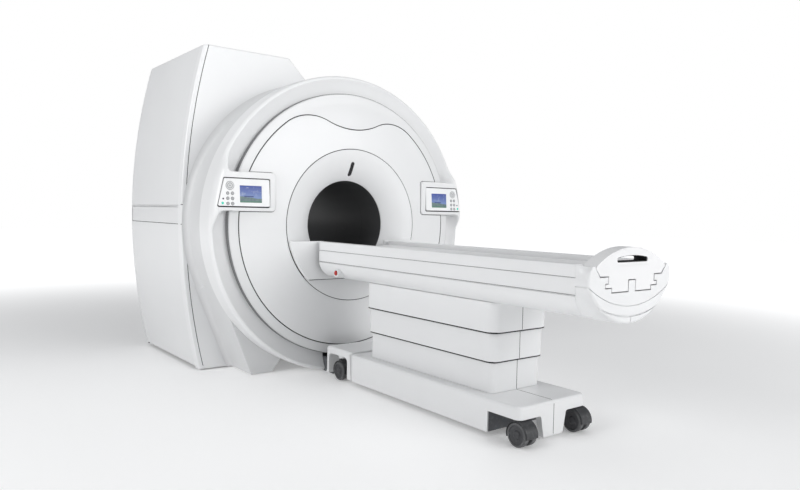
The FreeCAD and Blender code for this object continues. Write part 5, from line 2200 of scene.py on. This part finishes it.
# ------------------------------------------------------------------------------ bore and magnet
@dataclass
class MagnetCore:
    """The tube's lining, the docking block in the mouth and the frame at the floor."""

    shop: Workshop
    bridge: Spot = (506.0, -106.0, -355.0)
    trough: tuple[float, float] = (247.0, -173.0)
    bridge_run: Point = (-28.0, -0.4)
    tongue: Spot = (224.0, -190.0, 1450.8)
    lining: tuple[float, ...] = (300.2, 307.8, 104.8, 1451.2)

    def build(self) -> None:
        """Builds the pieces in and under the bore."""
        lining = self.shop.turned(Flat.box(*self.lining), 220)
        self.shop.finish(lining, "tube_lining", GANTRY, "bore", ["bore_liner"])
        self.block()
        self.apron()
        self.frame()

    def block(self) -> None:
        """The docking block, the track along the tube, and a dark strip of painted shadow under the block."""
        radius, top, low = self.bridge
        half, floor = self.trough
        top_x, low_x = math.sqrt(radius**2 - top**2), math.sqrt(radius**2 - low**2)
        path = Flat.trace(
            [
                (low_x, low, -radius), (top_x, top), (half, top), (half, floor), (-half, floor),
                (-half, top), (-top_x, top, -radius), (-low_x, low),
            ],
            24,
        )
        radii = {0: 16.0, -1: 16.0, 24: 5.0, 25: 5.0, 28: 5.0, 29: 5.0, 26: 9.0, 27: 9.0}
        mesh = self.shop.prism(Flat.soften(path, radii), *self.bridge_run, soft=(5.0, 0.0))
        wide, deep, end = self.tongue
        track = Flat.box(-wide, wide, deep, floor - 0.3)
        self.shop.prism(Flat.soften(track, 1.0), -6.4, end, mesh=mesh)
        self.shop.finish(mesh, "docking_block", GANTRY, "cover", ["dock_bridge"])
        # A dark strip under the block's lower edge: painted shadow under its ledge.
        seal = self.shop.slab((-340.0, 340.0), (-5.0, 1.0), (low - 6.0, low + 2.0), Axis.BORE)
        self.shop.seal(seal, "docking_seal")

    def apron(self) -> None:
        """The panel that closes the front below the docking block."""
        radius, top = 508.0, -339.0
        half = math.sqrt(radius**2 - top**2)
        path = Flat.trace([(-half, top, -radius), (0.0, -radius, -radius), (half, top)], 40)
        mesh = self.shop.prism(path, 0.6, 5.8, soft=(1.6, 0.0))
        self.shop.finish(mesh, "apron", GANTRY, "cover", ["lower_panel"])

    def frame(self) -> None:
        """The frame at the floor that the table docks against."""
        outline = Flat.soften(Flat.box(-180, 180, 0.2, 96), {2: 12.0, 3: 12.0})
        mesh = self.shop.prism(outline, -54.6, 189.8, Axis.Y, soft=(3.0, 0.0))
        notch = self.shop.prism([(-60, 20), (60, 20), (30, 60), (-30, 60)], -60, 5, Axis.Y)
        self.shop.finish(mesh, "docking_frame", GANTRY, "stand", ["dock_frame"], cut=[notch])


# ------------------------------------------------------------------------------ patient table
@dataclass
class PatientTable:
    """The table's hull, its end cap, the sliding cradle and the stop buttons."""

    shop: Workshop
    half: float = 302.0
    top: float = 879.0
    run: Point = (-2084.8, -56.2)
    cap_run: Point = (-2149.8, -2085.6)
    low: float = 648.2
    crown: float = 872.0
    middle: float = 770.0
    gap: float = 4.6
    lip: float = 16.0
    stop: Spot = (-276.0, 693.0, 14.0)
    # z, half height and depth, then the half height and place along X of the dark line painted in as the
    # groove's shade
    grooves: tuple[tuple[float, ...], ...] = ((823.0, 2.4, 3.0, 0.9, 298.8), (750.0, 4.4, 6.0, 1.2, 295.8))
    # z at the arc's ends and its radius, then the groove's width and depth
    cap_grooves: tuple[tuple[float, ...], ...] = ((752.0, 568.0, 8.0, 9.0), (808.0, 530.0, 4.4, 6.0))

    def build(self) -> None:
        """Builds the table's pieces."""
        self.hull()
        self.cap()
        self.cradle()
        for side in Side:
            self.stop_button(side)

    def hull_section(self) -> tuple[Path, Path]:
        """The right half of the hull's section, seen from the front: its outer and its inner line.

        Returns:
            The outer and the inner line (x, z).
        """
        half, wall = self.half - 0.2, 12.0
        right: list[Corner] = [(half, self.top)]
        for z, reach, deep, *_ in self.grooves:
            right += [(half, z + reach), (half - deep, z + reach * 0.7), (half - deep, z - reach * 0.7)]
            right.append((half, z - reach))
        right[-1] = (half, 745.0, 118.0)
        right.append((190.0, self.low))
        inner = [
            (186.0, 660.0, -106.0), (half - wall, 742.0), (half - wall, 806.0), (226.0, 806.0),
            (226.0, 817.8), (258.0, 817.8), (258.0, self.top),
        ]
        return Flat.trace(right, 18, closed=False), Flat.trace(inner, 18, closed=False)

    def hull(self) -> None:
        """The hull between the mouth of the bore and the end cap, with strips of painted shade in its
        grooves.
        """
        outer, inside = self.hull_section()
        path = outer + Flat.mirrored(outer) + Flat.mirrored(inside) + inside
        size = len(outer) * 2
        radii = dict.fromkeys((0, size - 1, size, -1), 6.0)
        mesh = self.shop.prism(Flat.soften(path, radii, 4), *self.run, Axis.Y, soft=(1.5, 1.5))
        y, z, _ = self.stop
        for sign in (-1, 1):
            lug = [(NEAR_ZERO, 240.0), (26.0, 240.0), (26.0, 309.0), (23.5, 311.8)]
            lug += [(17.0, 311.8), (16.0, 296.0), (NEAR_ZERO, 296.0)]
            self.shop.turned([(r, x * sign) for r, x in lug], 48, Axis.X, (0.0, y, z), mesh=mesh)
        hole = self.shop.slab((-200, 200), (-1530, -445), (600, 700), Axis.Z)
        self.shop.finish(mesh, "table_hull", "table", "table", ["table_body"], cut=[hole])
        # Dark strips at the bottom of the grooves: painted shade.
        lines = bmesh.new()
        for z, *_, reach, x in self.grooves:
            for sign in (1, -1):
                wide = ((x - 1.0) * sign, (x + 0.7) * sign)
                self.shop.slab(wide, (self.run[0] + 3, self.run[1] - 3), (z - reach, z + reach), mesh=lines)
        self.shop.seal(lines, "hull_lines", "table", "trim")

    def steps(self, gap: float) -> Path:
        """The stepped line down the right half that the cap and the cradle's plate share.

        Args:
            gap: How far the line lies outside the plate's edge.

        Returns:
            The line (x, z).
        """
        return [
            (254 + gap, 862), (222 + gap, 829 - gap), (166 + gap, 829 - gap), (166 + gap, 795 + gap),
            (186 + gap, 795 + gap), (186 + gap, 780 - gap), (142 + gap, 780 - gap),
            (142 + gap, 760 - gap), (28 - gap, 760 - gap), (28 - gap, 810 - gap),
        ]

    def cap(self) -> None:
        """The end cap with its rounded lip, widened backwards to the hull's outline."""
        rim = [(276.0, self.crown, 90.0), (303.8, 790.0, 353.0), (0.0, 616.2)]
        right = Flat.trace(rim, 26, closed=False)
        steps = [(254 + self.gap, self.crown)] + self.steps(self.gap)
        outer = right + [(-x, z) for x, z in reversed(right)][1:]
        inner = [(-x, z) for x, z in steps] + steps[::-1]
        weights = [ease((self.crown - z) / 50) for _, z in outer] + [0.0] * len(inner)
        front, back = self.cap_run
        levels = [
            (run, Flat.offset((outer + inner)[::-1], inset, weights[::-1]))
            for run, inset in self.shop.rims(front, back, self.lip, 0.0)[:-1]
        ]
        hull, start, count = [self.on_hull(x, z) for x, z in outer], front + self.lip, 4
        for k in range(1, count + 1):
            share = ease(k / count)
            shell = [(x + (hx - x) * share, z + (hz - z) * share) for (x, z), (hx, hz) in zip(outer, hull)]
            levels.append((start + (back - front - self.lip) * k / count, (shell + inner)[::-1]))
        mesh = self.shop.stack(levels, Axis.Y)
        self.shop.finish(mesh, "table_end_cap", "table", "table", ["end_cap"], cut=self.cap_cuts())

    def cap_cuts(self) -> list[Mesh]:
        """The cap's two curved grooves, run on along its sides, and the slit at its lowest place.

        Returns:
            The cutting meshes.
        """
        front, back = self.cap_run
        near, far = 298.0, 330.0
        cuts = []
        for z, bow, wide, deep in self.cap_grooves:
            line = Flat.arc((-far, z), (far, z), -bow, 60) + [(far, z)]
            band = line + [(x, y + wide) for x, y in reversed(line)]
            cuts.append(self.shop.prism(band, front - 30, front + deep, Axis.Y))
            side_z = z - math.sqrt(bow**2 - near**2) + math.sqrt(bow**2 - far**2)
            for sign in (1, -1):
                across = (near * sign, far * sign)
                cuts.append(self.shop.slab(across, (front - 30, back + 30), (side_z, side_z + wide)))
        return cuts + [self.shop.slab((-1.6, 1.6), (front - 10, -2100.0), (600.0, 646.0))]

    def on_hull(self, x: float, z: float) -> Point:
        """The point moved out to the hull's outline where the hull is the wider, seen from its middle.

        Args:
            x: The point's X.
            z: Its height.

        Returns:
            The point on the outline.
        """
        points, middle = self.hull_section()[0], self.middle
        angle, reach = math.atan2(z - middle, abs(x)), math.hypot(x, z - middle)
        for (x1, z1), (x2, z2) in zip(points, points[1:] + [(0.0, self.low)]):
            t1, t2 = (math.atan2(b - middle, a) for a, b in ((x1, z1), (x2, z2)))
            if t2 <= angle <= t1 and t1 > t2:
                share = (t1 - angle) / (t1 - t2)
                wide, rise = x1 + (x2 - x1) * share, z1 + (z2 - z1) * share - middle
                grown = max(1.0, math.hypot(wide, rise) / reach)
                return x * grown, middle + (z - middle) * grown
        return x, z

    def cradle(self) -> None:
        """The cradle's deck, and its end plate with the grip and a dark sleeve in the grip that is painted
        shade.
        """
        side, low, high = 240, 818.4, 852
        top = [(side, high), (side - 15, high, 2120.0), (15 - side, high), (-side, high)]
        deck = Flat.trace([(-side, low), (side, low), *top], 24)
        radii = {0: 2.0, 1: 2.0, 2: 6.0, 3: 4.0, -2: 4.0, -1: 6.0}
        mesh = self.shop.prism(Flat.soften(deck, radii, 4), -2083.0, -70.2, Axis.Y, soft=(0.0, 8.0))
        self.shop.finish(mesh, "cradle_deck", "cradle", "cradle", weighted=False)
        steps = self.steps(0.0)
        plate = Flat.trace([(-250, self.crown, 444.0), (250, self.crown)], 30, closed=False)
        path = plate + steps + [(-x, z) for x, z in reversed(steps)]
        radii = {0: 8.0, len(plate) - 1: 8.0} | {-k: 3.0 for k in range(1, len(steps) * 2 + 1)}
        path = Flat.soften(path, radii, 4)
        slot = Flat.trace([(-112, 884), (112, 884), (112, 904, -640.0), (-112, 904)], 12)
        slot = Flat.soften(slot, dict.fromkeys((0, 1, 2, -1), 9.0), 4)
        mesh = self.shop.prism(path, self.cap_run[0], -2080.2, Axis.Y, [slot], (2.4, 2.4))
        groove = self.shop.slab((-122.0, 108.0), (-2160.0, -2147.6), (870.0, 872.6))
        self.shop.finish(mesh, "cradle_plate", "cradle", "cradle", ["cradle"], cut=[groove])
        # The grip's walls lined dark: painted shade inside the slot.
        outer, hole = (Flat.offset(slot, inset) for inset in (0.3, 2.6))
        self.shop.seal(self.shop.prism(outer, -2146.0, -2082.0, Axis.Y, [hole]), "grip_liner", "cradle")

    def stop_button(self, side: Side) -> None:
        """A red mushroom button in the hull's side.

        Args:
            side: The button's side.
        """
        y, z, radius = self.stop
        sign = side.value
        section = [
            (NEAR_ZERO, 318.8), (radius - 5, 318.6), (radius - 2, 317.6), (radius - 0.2, 315.4),
            (radius - 0.2, 301.2), (NEAR_ZERO, 301.2),
        ]
        mesh = self.shop.turned([(r, x * sign) for r, x in section], 40, Axis.X, (0.0, y, z))
        node = f"stop_button_{side.word}"
        self.shop.finish(mesh, f"stop_cap_{side.word}", node, "stop", [node])


# ------------------------------------------------------------------------------ column, base, casters
@dataclass
class Column:
    """The telescoping column: three shells, each a step narrower than the one outside it."""

    shop: Workshop
    half: float = 205.0
    front: float = -440.0
    end: float = -1535.0
    corner: float = 62.0
    step: float = 14.0
    skin: float = 5.0

    def build(self) -> None:
        """Grows the three shells from one recipe."""
        shells = (
            ("tier_upper", "table", 0, 498.0, 647.6),
            ("tier_middle", "column_middle", 1, 350.0, 560.0),
            ("tier_lower", "table_base", 2, 190.4, 400.0),
        )
        recipe = ShellRecipe(self.shop.finishes.material("tier"))
        for node, body, count, low, high in shells:
            inset = self.step * count
            values = {
                "Width": (self.half - inset) * 2,
                "Length": self.front - self.end - inset * 2,
                "Corner": self.corner - inset,
                "Skin": self.skin,
                "Low": low,
                "High": high,
                "Middle": (self.front + self.end) / 2,
                "Rim": 2.0,
            }
            mesh = recipe.grow(values)
            self.shop.finish(mesh, f"{node}_shell", body, "tier", [node])
            self.joint(node, body, inset, low, high)
            if node != "tier_lower":
                self.seal(node, body, inset, low)

    def plan(self, inset: float) -> Path:
        """The column's outline seen from above, drawn in by 'inset'."""
        box = Flat.box(inset - self.half, self.half - inset, self.end + inset, self.front - inset)
        return Flat.soften(box, self.corner - inset, 12)

    def seal(self, node: str, body: str, inset: float, low: float) -> None:
        """The dark strip under a shell's lower edge, painted shadow where it overhangs the shell below.

        Args:
            node: The node that it belongs to.
            body: The node's body.
            inset: The shell's inset.
            low: The shell's lower edge.
        """
        outer, hole = self.plan(inset + 3.0), self.plan(inset + self.step - 0.3)
        # Painted shadow under the overhang.
        mesh = self.shop.prism(outer, low - 6.5, low + 1.0, Axis.Z, holes=[hole])
        self.shop.seal(mesh, f"{node}_wiper", body)

    def joint(self, node: str, body: str, inset: float, low: float, high: float) -> None:
        """The dark upright joint in the middle of a shell's end.

        Args:
            node: The node that it belongs to.
            body: The node's body.
            inset: The shell's inset.
            low: The lower end.
            high: The upper end.
        """
        face = self.end + inset
        mesh = self.shop.slab(JOINT, (face - 0.25, face + 2.0), (low + 2.0, high - 8.0))
        self.shop.seal(mesh, f"{node}_joint", body)


@dataclass
class WheeledBase:
    """The table's base cover with its leg and side arches, and the arm towards the magnet."""

    shop: Workshop
    half: float = 243.0
    end: float = -1750.0
    front: float = -345.0
    low: float = 23.0
    top: float = 190.0
    corner: float = 36.0
    skin: float = 6.0
    edge: float = 14.0
    arch_end: float = -1545.0
    lift: Point = (-987.0, 62.0)

    def build(self) -> None:
        """Builds the base cover, its trims and the arm."""
        self.cover()
        self.trims()
        self.arm()

    def plan(self, inset: float) -> Path:
        """The base's outline seen from above, drawn in by 'inset'."""
        half, near, far = self.half - inset, self.end + inset, self.front - inset
        return Flat.soften(Flat.box(-half, half, near, far), max(4.0, self.corner - inset), 10)

    def cover(self) -> None:
        """The base cover, open below, with its leg joined on."""
        mesh = self.shop.stack(self.levels(), Axis.Z)
        inside = self.shop.prism(self.plan(self.skin), self.low - 3, self.top - self.skin * 2, Axis.Z)
        cuts, join = [inside, *self.arches()], [("UNION", self.leg())]
        lift_y, lift_room = self.lift
        cuts.append(self.shop.prism(Flat.ring(0.0, lift_y, lift_room, 32), 150.0, 220.0, Axis.Z))
        self.shop.finish(mesh, "base_shell", "table_base", "table", ["base_cover"], cut=cuts, work=join)

    def levels(self) -> list[tuple[float, Path]]:
        """The heights and outlines of the cover, with a small step under its rounded top edge.

        Returns:
            Each height with its outline.
        """
        edge, foot, step = self.top - self.edge, 1.5, 1.4
        spots = [(self.low, foot), (self.low + foot, 0.2), (edge, 0.2), (edge + 1.2, step)]
        for turn in quarter(6):
            inset = step + (self.edge - 3) * (1 - math.cos(turn))
            spots.append((edge + 2.4 + (self.edge - 2.6) * math.sin(turn), inset))
        return [(z, self.plan(inset)) for z, inset in spots]

    def arches(self) -> list[Mesh]:
        """The room over the casters at the end, on both sides of the leg.

        Returns:
            The cutting meshes.
        """
        rooms = []
        for sign in (1, -1):
            arch = [(92 * sign, 128), (280 * sign, 128), (280 * sign, 0), (66 * sign, 0)]
            arch = Flat.soften(arch[::sign], {0 if sign > 0 else 3: 14.0}, 6)
            rooms.append(self.shop.prism(arch, self.end - 2, self.arch_end, Axis.Y))
        return rooms

    def leg(self) -> Mesh:
        """The leg between the arches, with the two blocks that hold the casters' stems.

        Returns:
            The mesh.
        """
        outline = [(-66, 18), (66, 18), (92, 128), (92, 183), (-92, 183), (-92, 128)]
        span = (self.end + 2.2, self.end + 36)
        mesh = self.shop.prism(Flat.soften(outline, 3.0), *span, Axis.Y, soft=(2.0, 2.0))
        for sign in (1, -1):
            self.shop.slab((156 * sign, 230 * sign), (self.end + 24, -1666.0), (135.2, 183.0), Axis.Z, mesh)
        return mesh

    def trims(self) -> None:
        """The dark wall behind the arches, and the joint line up the leg and along the top."""
        wall = self.shop.slab((-236.0, 236.0), (self.arch_end - 4.0, self.arch_end - 0.5), (26.0, 177.0))
        self.shop.seal(wall, "base_bulkhead", "table_base", "stand")
        line = self.shop.slab(JOINT, (self.end, self.end + 4.0), (26.0, 175.0))
        self.shop.slab(JOINT, (self.end + self.edge, -1508.0), (188.0, self.top), mesh=line)
        self.shop.seal(line, "base_joint", "table_base")

    def arm(self) -> None:
        """The arm with its arch over the front casters."""
        back, front = -345.8, -55.2
        top, low, roof = 198.0, 23.0, 155.0
        near, far = -88.0, -302.0
        path = [(back, low), (back, top), (front, top), (front, low)]
        path += [(near, low), (near, roof), (far, roof), (far, low)]
        outline = Flat.soften(path, dict(enumerate((2.0, 10.0, 26.0, 2.0, 2.0, 34.0, 34.0, 2.0))), 8)
        weights = [1.0 if z > top - 30 or y > front - 1 else 0.0 for y, z in outline]
        mesh = self.shop.prism(outline, -235.0, 235.0, Axis.X, soft=(16.0, 16.0), weights=weights)
        for sign in (1, -1):
            stem = Flat.box(NEAR_ZERO, 24.0, 135.2, 157.0)
            self.shop.turned(stem, 32, Axis.Z, (CASTER_X * sign, CASTER_Y["dock"], 0.0), mesh=mesh)
        self.shop.finish(mesh, "arm_shell", "table_base", "table", ["dock_arm"])


@dataclass(frozen=True)
class Caster:
    """A swivel caster: a hooded fork over two wheels."""

    shop: Workshop
    word: str
    x: float
    y: float
    trail: float = 20.0
    radius: float = 58.0
    gap: float = 10.0
    wide: float = 32.0

    def build(self) -> None:
        """Builds the hood and the wheels."""
        self.hood()
        self.wheels()

    def hood(self) -> None:
        """The dark hood that arches over the wheels, on its stem."""
        y, z = self.y - self.trail, self.radius
        outer, inner, half, web_half = 66.0, 60.5, 40.0, 6.5
        turns = [math.radians(-18 + 206 * k / 30) for k in range(31)]
        arch = [(y + outer * math.cos(t), z + outer * math.sin(t)) for t in turns]
        under = [(y + inner * math.cos(t), z + inner * math.sin(t)) for t in reversed(turns)]
        path = Flat.soften(arch + under, 1.0)
        mesh = self.shop.prism(path, self.x - half, self.x + half, Axis.X, soft=(2.4, 2.4))
        web = [(y + 40 * math.cos(t), z + 40 * math.sin(t)) for t in (math.tau * k / 32 for k in range(32))]
        self.shop.prism(web, self.x - web_half, self.x + web_half, Axis.X, mesh=mesh)
        neck = Flat.box(y - 20, self.y + 12, z + 20, z + 63)
        self.shop.prism(neck, self.x - web_half, self.x + web_half, Axis.X, mesh=mesh)
        stem = [(NEAR_ZERO, 118.0), (22.0, 118.0), (22.0, 124.0)]
        stem += [(12.0, 126.0), (12.0, 134.6), (NEAR_ZERO, 134.6)]
        self.shop.turned(stem, 32, Axis.Z, (self.x, self.y, 0.0), mesh=mesh)
        node = f"caster_fork_{self.word}"
        self.shop.finish(mesh, f"hood_{self.word}", f"swivel_{self.word}", "hood", [node])

    def pin(self, mesh: Mesh, radius: float, start: float, end: float) -> None:
        """Adds a round pin on the wheels' axle, between two distances from the caster's middle."""
        section = Flat.box(NEAR_ZERO, radius, start, end)
        self.shop.turned(section, 24, Axis.X, (self.x, self.y - self.trail, self.radius), mesh=mesh)

    def wheels(self) -> None:
        """The two wheels, each a tread on a dished disc."""
        mesh = bmesh.new()
        radius, near, far = self.radius, self.gap, self.gap + self.wide
        section = [
            (7.0, near), (40.0, near), (44.0, near + 1.0), (radius - 5, near + 1.0),
            (radius - 1.2, near + 3.4), (radius, near + 8), (radius, far - 8),
            (radius - 1.2, far - 3.4), (radius - 5, far - 1.0), (46.0, far - 0.6), (45.0, far - 3.5),
            (41.0, far - 6.0), (22.0, far - 7.0), (18.0, far - 2.0), (15.0, far - 0.4),
            (7.0, far - 0.4),
        ]
        marks = [1 if 43.0 <= section[k][0] and k < 9 else 0 for k in range(len(section))]
        centre = (self.x, self.y - self.trail, self.radius)
        for sign in (1, -1):
            profile = [(r, x * sign) for r, x in section]
            self.shop.turned(profile, 72, Axis.X, centre, marks=marks, mesh=mesh)
            self.pin(mesh, 7.0, 11.0 * sign, 40.8 * sign)
        self.pin(mesh, 6.0, -12.0, 12.0)
        node = f"caster_wheels_{self.word}"
        self.shop.finish(mesh, f"twin_wheels_{self.word}", f"wheels_{self.word}", ["wheel", "tread"], [node])


# ------------------------------------------------------------------------------ studio
@dataclass(frozen=True)
class Light:
    """A soft rectangular light."""

    name: str
    at: Spot
    aim: Spot
    size: Point
    power: float

    def add(self) -> None:
        """Puts the light in the scene."""
        data = bpy.data.lights.new(self.name, "AREA")
        data.shape = "RECTANGLE"
        data.size, data.size_y = self.size
        data.energy = self.power
        lamp = bpy.data.objects.new(self.name, data)
        lamp.location = self.at
        way = Vector(self.aim) - Vector(self.at)
        lamp.rotation_euler = way.to_track_quat("-Z", "Y").to_euler()
        bpy.context.scene.collection.objects.link(lamp)


@dataclass(frozen=True)
class Studio:
    """The floor, the lights, the pale surroundings and the camera."""

    eye: Spot = (-2.578, -3.838, 1.077)
    yaw: float = 37.82
    pitch: float = 2.75
    roll: float = 1.15
    focal: float = 680.0

    LIGHTS = (
        Light("key", (3.6, -10.2, 3.9), (0.0, -0.3, 0.8), (6.6, 5.1), 490.0),
        Light("fill", (-6.2, -0.8, 3.2), (-0.6, 0.7, 1.6), (3.0, 2.6), 158.0),
        Light("top", (0.4, -1.8, 5.6), (0.0, -0.6, 0.0), (4.5, 4.5), 50.0),
    )

    def build(self) -> None:
        """Builds the studio."""
        self.floor()
        for light in self.LIGHTS:
            light.add()
        self.surroundings()
        self.camera()
        bpy.context.scene.view_settings.view_transform = "Standard"

    @staticmethod
    def floor() -> None:
        """A pale floor that glows, faintly near the scanner and brightly far off: painted light that fades it
        into the white surroundings.
        """
        mesh = bmesh.new()
        bmesh.ops.create_grid(mesh, x_segments=1, y_segments=1, size=30.0)
        data = bpy.data.meshes.new("floor")
        mesh.to_mesh(data)
        mesh.free()
        floor = bpy.data.objects.new("floor", data)
        floor.location.z = -0.001
        bpy.context.scene.collection.objects.link(floor)
        board = Board("floor_paint")
        place = board.place()
        colour = board.mix(board.noise(place, 1.5, 2.0), paint((0.90, 0.90, 0.90)), paint((0.93, 0.93, 0.93)))
        x, y, _ = board.split(place)
        # Painted light: the floor glows more the further it is from the middle.
        far = (x * x + y * y).ramp(3.0, 55.0)
        painted_glow = board.mix(far, paint((0.16, 0.16, 0.16)), paint((0.80, 0.80, 0.80)))
        inputs = {"Base Color": colour, "Roughness": 0.6, "Emission Color": painted_glow, "Emission Strength": 1.0}
        data.materials.append(board.surface(inputs))
        floor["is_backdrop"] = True

    @staticmethod
    def surroundings() -> None:
        """White to the camera, and a soft grey light to everything else."""
        world = bpy.data.worlds.new("surroundings")
        bpy.context.scene.world = world
        world.use_nodes = True
        graph = Graph(world.node_tree)
        path = graph.node("ShaderNodeLightPath")
        camera, through = (Wire(graph, path.outputs[f"Is {ray} Ray"]) for ray in ("Camera", "Transmission"))
        seen = graph.add("ShaderNodeMath", {"operation": "MAXIMUM"}, {0: camera, 1: through})
        soft, plain = (
            graph.add("ShaderNodeBackground", {}, {"Color": (*colour, 1.0), "Strength": strength})
            for colour, strength in (((0.95, 0.97, 1.0), 0.31), ((1.0, 1.0, 1.0), 1.0))
        )
        mixed = graph.add("ShaderNodeMixShader", {}, {0: seen, 1: soft, 2: plain})
        graph.node("ShaderNodeOutputWorld", {}, {0: mixed})

    def camera(self) -> None:
        """The camera at the picture's place and angle."""
        yaw, pitch, roll = (math.radians(a) for a in (self.yaw, self.pitch, self.roll))
        ahead = Vector((math.sin(yaw) * math.cos(pitch), math.cos(yaw) * math.cos(pitch), -math.sin(pitch)))
        level = Vector((math.cos(yaw), -math.sin(yaw), 0.0))
        rise = level.cross(ahead)
        right = level * math.cos(roll) + rise * math.sin(roll)
        up = rise * math.cos(roll) - level * math.sin(roll)
        data = bpy.data.cameras.new("camera")
        data.sensor_width = 36.0
        data.lens = self.focal / PICTURE[0] * data.sensor_width
        data.clip_end = 200.0
        camera = bpy.data.objects.new("camera", data)
        turn = Matrix((right, up, -ahead)).transposed()
        camera.matrix_world = Matrix.Translation(self.eye) @ turn.to_4x4()
        bpy.context.scene.collection.objects.link(camera)
        bpy.context.scene.camera = camera


# ------------------------------------------------------------------------------ all of it
HIDDEN = {
    "magnet_vessel": "vessel",
    "gradient_coil": "coil",
    "service_turret": "turret",
    "magnet_stand": "stand",
    "lift_barrel": "lift",
    "lift_rod": "lift",
}


def box() -> list[list[float]]:
    """The lowest and the highest corner of the whole object."""
    return [list(corner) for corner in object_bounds()]


def main() -> None:
    """Builds the scanner and its studio."""
    logging.basicConfig(level=logging.INFO, format="%(message)s")
    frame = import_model()
    shop = Workshop(Finishes())
    parts = [FrontFace(shop), GantryRing(shop)]
    parts += [ControlPanel(shop, side) for side in Side]
    parts += [Tower(shop), MagnetCore(shop), PatientTable(shop), Column(shop), WheeledBase(shop)]
    for end, y in CASTER_Y.items():
        for side, x in (("right", CASTER_X), ("left", -CASTER_X)):
            parts.append(Caster(shop, f"{end}_{side}", x, y))
    for part in parts:
        part.build()
    shop.keep_cad(frame, HIDDEN)
    Studio().build()
    log.info("%d pieces", shop.count)


if __name__ == "__main__":
    main()
